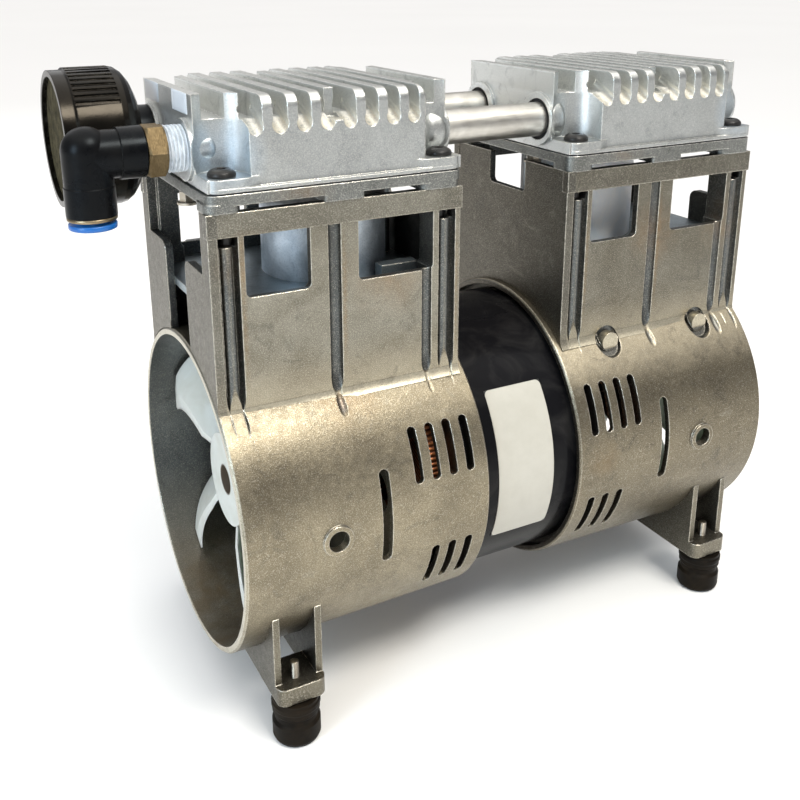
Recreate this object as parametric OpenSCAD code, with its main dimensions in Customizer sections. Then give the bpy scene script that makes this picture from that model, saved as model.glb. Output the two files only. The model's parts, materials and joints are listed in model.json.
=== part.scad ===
// Oil-less vacuum pump with two piston heads, driven by one motor with a shaft at both ends.
// The two housings are the same casting, turned half round from each other about the vertical axis.
// Each module is drawn with the motor's middle at X = 0 and the shaft along X. u means distance
// from the motor's middle, and t means distance from a tower's left edge as seen from outside.

/* [Motor] */
// Height of the shaft above the floor
shaft_z = 112; // [111.5:0.5:112.5]
// Outer radius of the motor shell
motor_r = 79.5; // [79:0.1:79.5]
// Radius of the shaft
shaft_r = 7.94; // [7.5:0.02:8]

/* [Housing] */
// Outer radius of the bell at its motor end
bell_r = 86; // [86:0.1:86.5]
// Outer radius of the bell at its mouth
mouth_r = 87.65; // [87.5:0.05:88]
// Wall thickness of the bell
bell_wall = 3.6; // [3.4:0.1:4]
// Distance from the motor's middle to the bell's mouth
mouth_u = 165.5; // [165.5:0.5:168]
// Height of the tower's top face
tower_top = 275.2; // [274:0.1:277]
// Half depth of the tower, front to back
tower_y = 57.2; // [57:0.1:58]
// Wall thickness of the tower
tower_wall = 4; // [3.6:0.1:4.4]

/* [Head] */
// Height of the fins' top edges
head_top = 326; // [324:0.5:330]
// Thickness of one fin
fin_w = 5; // [4:0.1:5.4]
// Radius of the concave pocket round each corner screw
pocket_r = 13; // [12:0.1:13]

/* [Crank] */
// Half of the piston's stroke
throw = 5.5; // [5:0.1:5.6]
// Outer radius of a piston's cup seal
piston_r = 23.4; // [22.8:0.1:23.4]
// Distance from the motor's middle to a cylinder's axis
cylinder_u = 84; // [83.5:0.1:84.5]

/* [Fan] */
// Radius of the fan's blade tips
fan_tip_r = 81.5; // [78:0.5:82]
// Number of blades
fan_blades = 5; // [4:1:7]
// Angle between a blade and the plane in which it turns, in degrees
blade_pitch = 40; // [32:1:46]

/* [Feet] */
// Distance from the motor's middle to a foot
foot_u = 139; // [138.5:0.5:140]
// Distance from the centre plane to a foot
foot_y = 75.6; // [75:0.1:76]
// Height of a rubber foot
foot_h = 25; // [24.5:0.5:25.5]

/* [Fittings] */
// Distance from the motor's middle to the elbow's upright axis
elbow_u = 208.3; // [208:0.1:209]
// Radius of the elbow's upright body
elbow_r = 11.2; // [11:0.1:11.4]
// Radius of the muffler's body
muffler_r = 34; // [33:0.5:34.5]

/* [Hidden] */
$fn = 96;

// Colours
cast_warm = [0.60, 0.57, 0.50];
cast_cool = [0.66, 0.68, 0.68];
bright = [0.80, 0.79, 0.75];
dark_steel = [0.12, 0.12, 0.12];
black_plastic = [0.06, 0.06, 0.06];
copper_brown = [0.45, 0.24, 0.12];

// The part's own origin lies on the floor, midway between its ends
origin_shift = (elbow_u + elbow_r - mouth_u) / 2;

// Bell
rim_u = 29.6;
rim_bore_r = motor_r + 3;
register_u = [36, 46];
register_r = motor_r + 0.05;
stop_r = motor_r - 2.7;
stop_end_u = 50;
cavity_u = 73.5;
cavity_r = mouth_r - bell_wall - 1;
bracket_u = [73.5, 77.5];
boss_r = 25;
air_hole_r = 12;
air_hole_at = 49;
bolt_at = 73;
bolt_r = 2.4;

// Tower
tower_u = [33.4, 165];
tower_mid_u = (tower_u[0] + tower_u[1]) / 2;
post_len = 17;
post_depth = 14;
band_z = 264;
band_proud = 1;
deck_z = [222, 226.2];
seat_z = 225;
window_z = 234;
window_t = [[17, 49.5], [74.5, 116]];
slit_t = [[5.2, 13.8], [120, 128.2]];
slit_groove_t = [[4.6, 14.2], [119.2, 128.8]];
bead_t = [9, 123.2];
bead_r = 3;
bead_y = 53.8;
mid_groove_t = [58.6, 65.2];
low_groove_t = [109.6, 115.2];
flare_r = 10;
run_out_r = 26;
run_out_z = 168;
recess_u = [65.5, 133];
recess_z = shaft_z + 63;
recess_r = 8.2;
rod_slot_u = [75.8, 94];
rod_slot_y = 20;

// Cylinder, plate and head
sleeve_r = 33.3;
bore_r = 29.5;
plate_z = 278.5;
plate_top = 283.6;
gasket_t = 0.8;
head_u = 33.5;
head_len = 130;
head_z = plate_top + gasket_t;
flange_z = head_z + 1.8;
land_z = 290.5;
head_y = 57;
flange_y = 59.4;
corner_r = 6;
fin_t = [18, 29.5, 41.5, 53, 64.7, 75.5, 87, 98.3, 109];
end_wall = 5;
valley_z = 314.5;
lip_z = 308.5;
screw_t = [9, 121];
screw_y = 50.4;
screw_r = 3.1;
port_y = 29.5;
port_z = 300;
port_r = 8.4;
port_depth = 11;
port_face_u = head_u + head_len + 2;
tube_r = 9.2;
tube_depth = 7;
seal_r = 11.2;
seal_half = 1.6;

// Fittings
stud_z = port_z + 1.2;
hex_u = [172, 183.5];
spigot_r = 7.5;
spigot_len = 10;
passage_r = 4.5;
elbow_z = 274.8;
ring_z = 271.5;
socket_r = 8.35;
muffler_u = [172.8, 212];
neck_r = 14;
neck_spigot_r = 7;
felt_r = muffler_r - 4;
felt_depth = 26;

// Crank
pin_r = 15;
rod_u = [78.5, 89.5];
rod_mid_u = (rod_u[0] + rod_u[1]) / 2;
rod_big_r = 29;
rod_bearing_r = 23.5;
crown_z = tower_top - 0.9 - shaft_z - throw;
counterweight_u = [91, 99];
fan_hub_u = [126, 146];
fan_hub_r = 26;
blade_u = [128, 152];

// A child drawn upward is laid along +X, with its base at distance u
module along_x(u, y = 0, z = shaft_z) {
    translate([u, y, z])
        rotate([0, 90, 0])
            children();
}

// Round bar along X
module bar_x(r, u, y = 0, z = shaft_z) {
    along_x(u[0], y, z)
        cylinder(r = r, h = u[1] - u[0]);
}

// Hollow round bar along X
module pipe_x(r_out, r_in, u, y = 0, z = shaft_z) {
    difference() {
        bar_x(r_out, u, y, z);
        bar_x(r_in, [u[0] - 1, u[1] + 1], y, z);
    }
}

// Upright round bar
module post(r, x, y, z) {
    translate([x, y, z[0]])
        cylinder(r = r, h = z[1] - z[0]);
}

// Box from low to high on each axis
module block(x, y, z) {
    translate([x[0], y[0], z[0]])
        cube([x[1] - x[0], y[1] - y[0], z[1] - z[0]]);
}

// Box with round upright corners
module round_block(r, x, y, z) {
    block([x[0] + r, x[1] - r], y, z);
    block(x, [y[0] + r, y[1] - r], z);
    for (u = [x[0] + r, x[1] - r])
        for (v = [y[0] + r, y[1] - r])
            post(r, u, v, z);
}

// Profile given in Y and Z, drawn out along X
module profile_x(u) {
    translate([u[0], 0, 0])
        rotate([90, 0, 90])
            linear_extrude(u[1] - u[0])
                children();
}

// Profile given in X and Z, drawn out along Y
module profile_y(y) {
    translate([0, y[1], 0])
        rotate([90, 0, 0])
            linear_extrude(y[1] - y[0])
                children();
}

// The front and its mirror image at the back
module front_and_back() {
    children();
    mirror([0, 1, 0])
        children();
}

// One unit's shapes moved to the other end of the motor
module turned() {
    rotate([0, 0, 180])
        children();
}

// The half turn that leaves a tower's own outline unchanged
module tower_both_faces() {
    children();
    translate([2 * tower_mid_u, 0, 0])
        rotate([0, 0, 180])
            children();
}

module placed() {
    translate([origin_shift, 0, 0])
        children();
}

// Housing

// Bell of revolution with the register that seats the motor shell
module bell_shell() {
    edge = 1;
    along_x(0)
        rotate_extrude($fn = 128)
            polygon([
                [rim_bore_r, rim_u], [bell_r - edge, rim_u], [bell_r, rim_u + edge],
                [mouth_r, mouth_u - edge], [mouth_r - edge, mouth_u],
                [mouth_r - bell_wall, mouth_u], [cavity_r, cavity_u], [cavity_r, stop_end_u],
                [stop_r, stop_end_u], [stop_r, register_u[1]], [register_r, register_u[1]],
                [register_r, register_u[0]], [rim_bore_r, register_u[0]]
            ]);
}

// Everything inside the bell's outer face, with a hair's clearance, to trim what stands on the bell
module bell_solid() {
    fit = 0.03;
    beyond = 6;
    along_x(0)
        rotate_extrude($fn = 128)
            polygon([
                [0, rim_u - beyond], [bell_r + fit, rim_u - beyond], [bell_r + fit, rim_u],
                [mouth_r + fit, mouth_u - 1], [mouth_r + fit, mouth_u + beyond],
                [0, mouth_u + beyond]
            ]);
}

// Wall across the bell that carries the main bearing
module bearing_bracket() {
    rib_u = [66, 74];
    difference() {
        union() {
            bar_x(cavity_r + 1, bracket_u);
            bar_x(boss_r, [62, 74]);
            for (i = [0:5])
                translate([0, 0, shaft_z])
                    rotate([60 * i, 0, 0])
                        block(rib_u, [-2.5, 2.5], [boss_r - 2, cavity_r + 1]);
        }
        bar_x(20.03, [61, 75]);
        bar_x(shaft_r + 8, [60, 80]);
        for (i = [0:5])
            translate([0, 0, shaft_z])
                rotate([60 * i + 30, 0, 0])
                    translate([60, 0, air_hole_at])
                        rotate([0, 90, 0])
                            cylinder(r = air_hole_r, h = 20);
        bolt_circle()
            cylinder(r = bolt_r + 0.4, h = 40);
    }
}

// Four through bolts' places, clear of the legs and the rod
module bolt_circle(u = 50) {
    for (i = [0:3])
        translate([0, 0, shaft_z])
            rotate([90 * i + 45, 0, 0])
                translate([u, 0, bolt_at])
                    rotate([0, 90, 0])
                        children();
}

// Concave flare that joins the tower's face to the bell
module tower_flare() {
    mid_r = (bell_r + mouth_r) / 2;
    centre_y = tower_y + flare_r - 0.3;
    centre_h = sqrt(pow(mid_r + flare_r, 2) - pow(centre_y, 2));
    k = (mid_r - 2) / (mid_r + flare_r);
    front_and_back()
        profile_x(tower_u)
            difference() {
                polygon([
                    [-tower_y + 2, shaft_z + centre_h],
                    [-centre_y, shaft_z + centre_h],
                    [-centre_y * k, shaft_z + centre_h * k],
                    [-tower_y + 2, shaft_z + centre_h - 16]
                ]);
                translate([-centre_y, shaft_z + centre_h])
                    circle(r = flare_r);
            }
}

// Window with rounded lower corners, cut through the front wall
module window_cut(t, z) {
    r = 3;
    u = [tower_u[0] + t[0], tower_u[0] + t[1]];
    profile_y([-tower_y - 2, -tower_y + post_depth + 2]) {
        translate([u[0], z[0] + r])
            square([u[1] - u[0], z[1] - z[0] - r]);
        translate([u[0] + r, z[0]])
            square([u[1] - u[0] - 2 * r, r + 1]);
        for (x = [u[0] + r, u[1] - r])
            translate([x, z[0] + r])
                circle(r = r);
    }
}

// Centre of the arc in which the floor of a groove of radius r runs out on the bell, with its
// height in whole tenths
function run_out_y(r) = tower_y + run_out_r - r;
function run_out_height(r) = round(10 * (run_out_z + sqrt(pow(run_out_r, 2) - pow(run_out_y(r)
    - sqrt(pow(bell_r + 0.8, 2) - pow(run_out_z - shaft_z, 2)), 2)))) / 10;

// Groove with a round floor down the front face, which runs out on the bell
module groove_cut(t, z_top) {
    r = (t[1] - t[0]) / 2;
    mid_u = tower_u[0] + (t[0] + t[1]) / 2;
    turn_z = run_out_height(r);
    post(r, mid_u, -tower_y, [turn_z, z_top]);
    block([mid_u - r, mid_u + r], [-tower_y - flare_r, -tower_y], [turn_z, z_top]);
    translate([mid_u, -run_out_y(r), turn_z])
        rotate([0, 90, 0])
            rotate_extrude(angle = 90)
                translate([run_out_r - r, 0]) {
                    circle(r = r, $fn = 48);
                    translate([-1.4 * flare_r, -r])
                        square([1.4 * flare_r, 2 * r]);
                }
}

// Round bead in a corner groove of radius r, under the end of a head screw
module groove_bead(t, r) {
    turn_z = run_out_height(r);
    post(bead_r, tower_u[0] + t, -bead_y, [turn_z, band_z]);
    translate([tower_u[0] + t, -run_out_y(r), turn_z])
        rotate([0, 90, 0])
            rotate_extrude(angle = 90)
                translate([run_out_y(r) - bead_y, 0])
                    circle(r = bead_r, $fn = 48);
}

// Grooves of one face
module face_grooves() {
    for (i = [0:1])
        difference() {
            groove_cut(slit_groove_t[i], band_z);
            groove_bead(bead_t[i], (slit_groove_t[i][1] - slit_groove_t[i][0]) / 2);
        }
    groove_cut(mid_groove_t, band_z);
    groove_cut(low_groove_t, window_z + 1);
}

// What is cut into one face: windows, grooves, and the gaps that bare the head screws' ends
module face_cuts() {
    for (t = window_t)
        window_cut(t, [window_z, band_z]);
    for (t = slit_t)
        block([tower_u[0] + t[0], tower_u[0] + t[1]], [-tower_y - 2, -screw_y + 1],
            [band_z - 5, band_z]);
    face_grooves();
}

// Open space over and under the deck
module tower_hollow() {
    inner_u = [tower_u[0] + tower_wall, tower_u[1] - tower_wall];
    inner_y = tower_y - tower_wall;
    difference() {
        block(inner_u, [-inner_y, inner_y], [150, tower_top + 5]);
        for (u = [tower_u[0], tower_u[1] - post_len])
            for (y = [-tower_y, tower_y - post_depth])
                block([u, u + post_len], [y, y + post_depth], [140, tower_top + 6]);
    }
}

// Tall opening in the outer end wall, wide at the top, with a narrow stem down to the bell
module end_opening() {
    stem_y = 17.5;
    wide_y = 46.5;
    shoulder_z = 245;
    r = 5;
    profile_x([tower_u[1] - tower_wall - 1, tower_u[1] + 3]) {
        translate([-stem_y, 180])
            square([2 * stem_y, tower_top - 178]);
        translate([-wide_y, shoulder_z])
            square([2 * wide_y, tower_top - shoulder_z + 2]);
        for (s = [-1, 1])
            difference() {
                translate([s * (stem_y + r / 2 - 0.5), shoulder_z - r / 2 + 0.5])
                    square([r + 1, r + 1], center = true);
                translate([s * (stem_y + r), shoulder_z - r])
                    circle(r = r);
            }
    }
}

// Notch in the top of the wall that faces the motor
module inner_notch() {
    notch_y = 18;
    notch_z = 257;
    r = 3;
    profile_x([tower_u[0] - 2, tower_u[0] + tower_wall + 1]) {
        translate([-notch_y, notch_z + r])
            square([2 * notch_y, tower_top - notch_z]);
        translate([-notch_y + r, notch_z])
            square([2 * (notch_y - r), r + 1]);
        for (s = [-1, 1])
            translate([s * (notch_y - r), notch_z + r])
                circle(r = r);
    }
}

// Square tower that carries the cylinder, the valve plate and the head
module tower() {
    difference() {
        union() {
            difference() {
                block(tower_u, [-tower_y, tower_y], [150, tower_top]);
                tower_hollow();
            }
            block([tower_u[0] - 0.5, tower_u[1] + 0.4], [-tower_y - band_proud, -tower_y + tower_wall],
                [band_z, tower_top]);
            block([tower_u[0] - 0.5, tower_u[1] + 0.4], [tower_y - tower_wall, tower_y + band_proud],
                [band_z, tower_top]);
            tower_flare();
        }
        tower_both_faces()
            face_cuts();
        end_opening();
        inner_notch();
        for (t = screw_t)
            for (s = [-1, 1])
                post(screw_r + 0.1, head_u + t, s * screw_y, [254, tower_top + 1]);
    }
}

// Deck across the tower, with the seat for the cylinder and a post for a small screw
module deck() {
    screw_post = [44, -10];
    foot_block_u = [49, 70];
    foot_block_y = [34, 41.5];
    inner_u = [tower_u[0] + tower_wall, tower_u[1] - tower_wall];
    inner_y = tower_y - tower_wall;
    difference() {
        union() {
            intersection() {
                block(inner_u, [-inner_y, inner_y], deck_z);
                tower_hollow();
            }
            block(foot_block_u, foot_block_y, [deck_z[1] - 1, deck_z[1] + 8.2]);
            post(4.7, screw_post[0], screw_post[1], [deck_z[1] - 1, tower_top - 3]);
        }
        post(bore_r - 1, cylinder_u, 0, [deck_z[0] - 1, deck_z[1] + 1]);
        post(sleeve_r + 0.05, cylinder_u, 0, [seat_z, tower_top]);
    }
}

// Slot through the bell's wall between two angles, measured upward from the front
module bell_slot(u, width, angles) {
    translate([u, 0, shaft_z]) {
        rotate([-90 - angles[1], 0, 0])
            rotate([0, 90, 0])
                rotate_extrude(angle = angles[1] - angles[0])
                    translate([72, -width / 2])
                        square([22, width]);
        for (a = angles)
            rotate([90 - a, 0, 0])
                translate([0, 0, 72])
                    cylinder(r = width / 2 + 0.05, h = 22);
    }
}

// Vents, the long slot and the round hole of the bell's two sides
module bell_cuts() {
    hole_angle = 1.3;
    for (u = [40.7, 50.8, 60.9, 71])
        bell_slot(u, 4.7, [14.4, 30.6]);
    for (u = [41, 51, 61])
        bell_slot(u, 4.7, [-32.4, -14.6]);
    bell_slot(90.5, 5.5, [-10.7, 18.9]);
    translate([118, 0, shaft_z])
        rotate([90 - hole_angle, 0, 0])
            translate([0, 0, 70])
                cylinder(r = 5.5, h = 30);
}

// Collar round the bell's round hole
module hole_collar() {
    translate([118, 0, shaft_z])
        rotate([88.7, 0, 0])
            translate([0, 0, cavity_r])
                cylinder(r = 8, h = mouth_r + 0.7 - cavity_r);
}

// Round pins lying level in the tower's recesses or behind them
module recess_pins(r, y) {
    for (u = recess_u)
        translate([u, y[1], recess_z])
            rotate([90, 0, 0])
                cylinder(r = r, h = y[1] - y[0]);
}

// Blind recesses low on one face of the tower, each with a peg in it
module recess_cuts() {
    difference() {
        recess_pins(recess_r, [-80, -55.5]);
        bar_x(bell_r - 1.8, [50, 150]);
        recess_pegs();
    }
}

module recess_pegs() {
    recess_pins(5.5, [-62.2, -54]);
}

// Leg of two thin webs over a foot pad
module leg() {
    pad_u = [125, 151];
    pad_y = [60, 85];
    pad_z = [foot_h + 1, foot_h + 10.5];
    web_y = 79;
    web_w = 3.6;
    r = 5;
    difference() {
        union() {
            for (u = [pad_u[0], pad_u[1] - web_w])
                profile_x([u, u + web_w])
                    polygon([
                        [-8, pad_z[0]], [-web_y, pad_z[0]], [-web_y, shaft_z - 30],
                        [-60, shaft_z - 12]
                    ]);
            block([pad_u[0], pad_u[1]], [-pad_y[1] + r, -pad_y[0]], pad_z);
            block([pad_u[0] + r, pad_u[1] - r], [-pad_y[1], -pad_y[1] + r + 1], pad_z);
            for (u = [pad_u[0] + r, pad_u[1] - r])
                post(r, u, -pad_y[1] + r, pad_z);
        }
        post(2.6, foot_u, -foot_y, [20, 40]);
    }
}

// The casting is drawn as four parts: its bell, the tower on the bell, the deck in the tower,
// and the two legs under the bell
module housing_unit() {
    difference() {
        union() {
            bell_shell();
            bearing_bracket();
            front_and_back()
                hole_collar();
            intersection() {
                recess_pins(recess_r + 2, [-70, -48]);
                pipe_x(bell_r - 1, fan_tip_r + 0.7, [50, 150]);
            }
        }
        front_and_back()
            bell_cuts();
        tower_both_faces()
            face_grooves();
        recess_cuts();
        block(rod_slot_u, [-rod_slot_y, rod_slot_y], [shaft_z + 70, shaft_z + 95]);
    }
}

module tower_unit() {
    difference() {
        union() {
            tower();
            recess_pegs();
        }
        bell_solid();
        recess_cuts();
    }
}

module leg_unit() {
    difference() {
        front_and_back()
            leg();
        bell_solid();
    }
}

module housing_right() {
    color(cast_warm)
        placed()
            housing_unit();
}

module housing_left() {
    color(cast_warm)
        placed()
            turned()
                housing_unit();
}

module tower_right() {
    color(cast_warm)
        placed()
            tower_unit();
}

module tower_left() {
    color(cast_warm)
        placed()
            turned()
                tower_unit();
}

module deck_right() {
    color(cast_warm)
        placed()
            deck();
}

module deck_left() {
    color(cast_warm)
        placed()
            turned()
                deck();
}

module legs_right() {
    color(cast_warm)
        placed()
            leg_unit();
}

module legs_left() {
    color(cast_warm)
        placed()
            turned()
                leg_unit();
}

// Motor

module motor_shell() {
    color(dark_steel)
        placed()
            pipe_x(motor_r, motor_r - 2.5, [-register_u[1], register_u[1]]);
}

// Plain label plate on the front of the shell
module label_plate() {
    low = -24;
    high = 39;
    color([0.92, 0.92, 0.9])
        placed()
            translate([-20, 0, shaft_z])
                rotate([-90 - high, 0, 0])
                    rotate([0, 90, 0])
                        rotate_extrude(angle = high - low)
                            translate([motor_r, 0])
                                square([0.4, 36]);
}

module stator_core() {
    core_r = motor_r - 2.55;
    color([0.35, 0.36, 0.38])
        placed()
            difference() {
                pipe_x(core_r, 38.6, [-32, 32]);
                bolt_circle(-40)
                    cylinder(r = bolt_r + 0.3, h = 80);
            }
}

// Wound ends of the stator's coils
module stator_windings() {
    r = 6;
    color(copper_brown)
        placed()
            for (s = [0, 180])
                rotate([0, 0, s])
                    along_x(32)
                        rotate_extrude() {
                            translate([42, 0])
                                square([28, 22]);
                            translate([42 + r, 20])
                                square([28 - 2 * r, 2 + r]);
                            for (x = [42 + r, 70 - r])
                                translate([x, 22])
                                    circle(r = r, $fn = 48);
                        }
}

module through_bolts() {
    color(bright)
        placed()
            bolt_circle(-bracket_u[1]) {
                cylinder(r = bolt_r, h = 2 * bracket_u[1] + 7);
                translate([0, 0, -3.5])
                    cylinder(r = 4.2, h = 3.5, $fn = 6);
            }
}

module through_bolt_nuts() {
    color(bright)
        placed()
            bolt_circle(bracket_u[1])
                difference() {
                    cylinder(r = 4.4, h = 4, $fn = 6);
                    translate([0, 0, -1])
                        cylinder(r = bolt_r + 0.05, h = 6);
                }
}

module main_bearings() {
    color(bright)
        placed()
            for (s = [0, 180])
                rotate([0, 0, s])
                    difference() {
                        pipe_x(20, shaft_r + 0.03, [63, 75]);
                        pipe_x(16.5, 12, [74.4, 76]);
                        pipe_x(16.5, 12, [62, 63.6]);
                    }
}

// Crank assembly

module motor_shaft() {
    color(bright)
        placed() {
            bar_x(shaft_r, [-135.2, 135.2]);
            for (s = [0, 180])
                rotate([0, 0, s])
                    along_x(135.2)
                        cylinder(r1 = shaft_r, r2 = shaft_r - 0.8, h = 0.8);
        }
}

module rotor_core() {
    color([0.35, 0.36, 0.38])
        placed()
            difference() {
                union() {
                    bar_x(38.2, [-32, 32]);
                    pipe_x(36, 24, [-40, 40]);
                }
                bar_x(shaft_r, [-50, 50]);
            }
}

// Crank pin beside its counterweight; up is the side that the pin leans to
module eccentric(up) {
    weight_r = 34;
    difference() {
        union() {
            bar_x(pin_r, [rod_u[0], counterweight_u[0] + 1], 0, shaft_z + up * throw);
            bar_x(17, counterweight_u);
            difference() {
                bar_x(weight_r, counterweight_u);
                translate([0, 0, shaft_z])
                    rotate([up > 0 ? 0 : 180, 0, 0])
                        block([80, 110], [-50, 50], [-6, 50]);
            }
        }
        bar_x(shaft_r, [70, 110]);
    }
}

module eccentric_right() {
    color([0.5, 0.5, 0.5])
        placed()
            eccentric(-1);
}

module eccentric_left() {
    color([0.5, 0.5, 0.5])
        placed()
            turned()
                eccentric(1);
}

// One blade: part of a tube's wall whose axis leans, so that the blade flattens towards its tip
module fan_blade() {
    camber_r = 60;
    lean = 14;
    thick = 2.4;
    reach = 110;
    depth = blade_u[1] - blade_u[0];
    mirror([0, 1, 0])
        translate([0, 0, depth / 2])
            rotate([blade_pitch, 0, 0])
                translate([fan_hub_r + 28, 0, -camber_r])
                    rotate([0, 0, -lean])
                        rotate([0, 90, 0])
                            difference() {
                                cylinder(r = camber_r + thick / 2, h = reach, center = true);
                                cylinder(r = camber_r - thick / 2, h = reach + 2, center = true);
                            }
}

// Side view of a blade, turned about the shaft, with a block that keeps one blade's share of it
module blade_sweep() {
    depth = blade_u[1] - blade_u[0];
    share_y = 32;
    intersection() {
        rotate_extrude()
            polygon([
                [fan_hub_r - 2.5, 2], [58, 0], [76, 6], [fan_tip_r, 15],
                [fan_tip_r, depth - 2], [72, depth], [36, fan_hub_u[1] - blade_u[0] + 2],
                [fan_hub_r - 2.5, fan_hub_u[1] - blade_u[0] - 2]
            ]);
        translate([0, -share_y, -1])
            cube([fan_tip_r + 5, 2 * share_y, depth + 2]);
    }
}

// Blades trimmed to the round sweep of their tips
module fan_unit() {
    first_angle = 129;
    difference() {
        union() {
            bar_x(fan_hub_r, [fan_hub_u[1] - 4, fan_hub_u[1]]);
            pipe_x(fan_hub_r, fan_hub_r - 4, fan_hub_u);
            bar_x(13, fan_hub_u);
            along_x(blade_u[0])
                for (i = [0:fan_blades - 1])
                    rotate([0, 0, i * 360 / fan_blades + first_angle])
                        intersection() {
                            fan_blade();
                            blade_sweep();
                        }
        }
        bar_x(shaft_r, [fan_hub_u[0] - 1, fan_hub_u[1] + 1]);
    }
}

module fan_right() {
    color([0.93, 0.94, 0.93])
        placed()
            fan_unit();
}

module fan_left() {
    color([0.93, 0.94, 0.93])
        placed()
            mirror([1, 0, 0])
                fan_unit();
}

// Piston rods; up gives the side that the crank pin leans to at rest

module piston_rod(up) {
    pin_z = shaft_z + up * throw;
    shank_y = [13, 8];
    difference() {
        union() {
            bar_x(rod_big_r, rod_u, 0, pin_z);
            profile_x([rod_mid_u - 4.5, rod_mid_u + 4.5])
                polygon([
                    [-shank_y[0], pin_z], [shank_y[0], pin_z],
                    [shank_y[1], pin_z + crown_z - 7], [-shank_y[1], pin_z + crown_z - 7]
                ]);
            post(11, rod_mid_u, 0, [pin_z + crown_z - 18, pin_z + crown_z - 7]);
            post(piston_r - 1.4, rod_mid_u, 0, [pin_z + crown_z - 9, pin_z + crown_z - 3]);
        }
        bar_x(rod_bearing_r, [70, 100], 0, pin_z);
        for (u = [rod_mid_u - 5.5, rod_mid_u + 2])
            profile_x([u, u + 3.5])
                polygon([
                    [-shank_y[0] + 5, pin_z + rod_big_r + 5], [shank_y[0] - 5, pin_z + rod_big_r + 5],
                    [shank_y[1] - 4, pin_z + crown_z - 24], [-shank_y[1] + 4, pin_z + crown_z - 24]
                ]);
    }
}

module rod_bearing(up) {
    pipe_x(rod_bearing_r, pin_r + 0.03, [rod_mid_u - 4.5, rod_mid_u + 4.5], 0, shaft_z + up * throw);
}

module cup_seal(up) {
    base_z = shaft_z + up * throw + crown_z - 3;
    translate([rod_mid_u, 0, base_z])
        rotate_extrude()
            polygon([
                [0, 0], [piston_r, 0], [piston_r, 3], [piston_r - 0.7, 3],
                [piston_r - 0.9, 0.9], [0, 0.9]
            ]);
}

module cup_retainer(up) {
    base_z = shaft_z + up * throw + crown_z - 2.1;
    difference() {
        post(piston_r - 1.5, rod_mid_u, 0, [base_z, base_z + 2.1]);
        translate([rod_mid_u, 0, base_z + 1])
            cylinder(r1 = 3, r2 = 5, h = 1.2);
    }
}

module piston_rod_right() {
    color(bright)
        placed()
            piston_rod(-1);
}

module piston_rod_left() {
    color(bright)
        placed()
            turned()
                piston_rod(1);
}

module rod_bearing_right() {
    color([0.7, 0.7, 0.72])
        placed()
            rod_bearing(-1);
}

module rod_bearing_left() {
    color([0.7, 0.7, 0.72])
        placed()
            turned()
                rod_bearing(1);
}

module cup_seal_right() {
    color([0.55, 0.5, 0.4])
        placed()
            cup_seal(-1);
}

module cup_seal_left() {
    color([0.55, 0.5, 0.4])
        placed()
            turned()
                cup_seal(1);
}

module cup_retainer_right() {
    color(bright)
        placed()
            cup_retainer(-1);
}

module cup_retainer_left() {
    color(bright)
        placed()
            turned()
                cup_retainer(1);
}

// Cylinder, valve plate and head

module cylinder_sleeve() {
    difference() {
        post(sleeve_r, cylinder_u, 0, [seat_z, tower_top]);
        post(bore_r, cylinder_u, 0, [seat_z - 1, tower_top + 1]);
    }
}

module cylinder_sleeve_right() {
    color(bright)
        placed()
            cylinder_sleeve();
}

module cylinder_sleeve_left() {
    color(bright)
        placed()
            turned()
                cylinder_sleeve();
}

// Plate with lugs that stand on the tower, and open gaps between them
module valve_plate() {
    left_u = head_u - 0.3;
    right_u = head_u + head_len + 1;
    mid_t = [56.5, 77.5];
    corner_t = [16.8, 22.8];
    lug_y = 46;
    difference() {
        union() {
            round_block(corner_r, [left_u, right_u], [-flange_y, flange_y], [plate_z, plate_top]);
            post(sleeve_r + 4, cylinder_u, 0, [tower_top, plate_z + 1]);
            tower_both_faces() {
                for (u = [[left_u, head_u + corner_t[0]], [right_u - corner_t[1], right_u]])
                    round_block(corner_r, u, [-flange_y, -lug_y + corner_r],
                        [tower_top, plate_z + 1]);
                round_block(2, [head_u + mid_t[0], head_u + mid_t[1]], [-flange_y, -lug_y],
                    [tower_top, plate_z + 1]);
            }
        }
        for (s = [-1, 1])
            post(4, cylinder_u, s * 13, [tower_top - 1, plate_top + 1]);
        for (t = screw_t)
            for (s = [-1, 1])
                post(screw_r + 0.3, head_u + t, s * screw_y, [tower_top - 1, plate_top + 1]);
    }
}

module valve_plate_right() {
    color(cast_cool)
        placed()
            valve_plate();
}

module valve_plate_left() {
    color(cast_cool)
        placed()
            turned()
                valve_plate();
}

// Spring reeds: one under each plate for the inlet and one over it for the outlet
module reed_pair() {
    t = 0.3;
    reed_l = 20;
    reed_w = 11;
    for (s = [-1, 1])
        translate([cylinder_u, s * 13, s > 0 ? plate_top : tower_top - t]) {
            cylinder(r = reed_w / 2, h = t);
            translate([-reed_l, -reed_w / 2, 0])
                cube([reed_l, reed_w, t]);
        }
}

module valve_reeds() {
    color([0.75, 0.77, 0.8])
        placed() {
            reed_pair();
            turned()
                reed_pair();
        }
}

// Small screws seen under each plate's ends
module valve_screw_pair() {
    places = [[44, -10], [161.5, 18]];
    for (p = places)
        translate([p[0], p[1], tower_top - 3]) {
            cylinder(r = 5, h = 1.2);
            translate([0, 0, 1.2])
                cylinder(r = 3.8, h = plate_z - tower_top + 1.8, $fn = 6);
        }
}

module valve_screws() {
    color(dark_steel)
        placed() {
            valve_screw_pair();
            turned()
                valve_screw_pair();
        }
}

module head_gasket() {
    difference() {
        round_block(corner_r, [head_u + 0.5, head_u + head_len - 0.5],
            [-flange_y + 0.5, flange_y - 0.5], [plate_top, head_z]);
        block([cylinder_u - 34, cylinder_u + 12], [4, 26], [plate_top - 1, head_z + 1]);
        for (t = screw_t)
            for (s = [-1, 1])
                post(screw_r + 0.3, head_u + t, s * screw_y, [plate_top - 1, head_z + 1]);
    }
}

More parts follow.
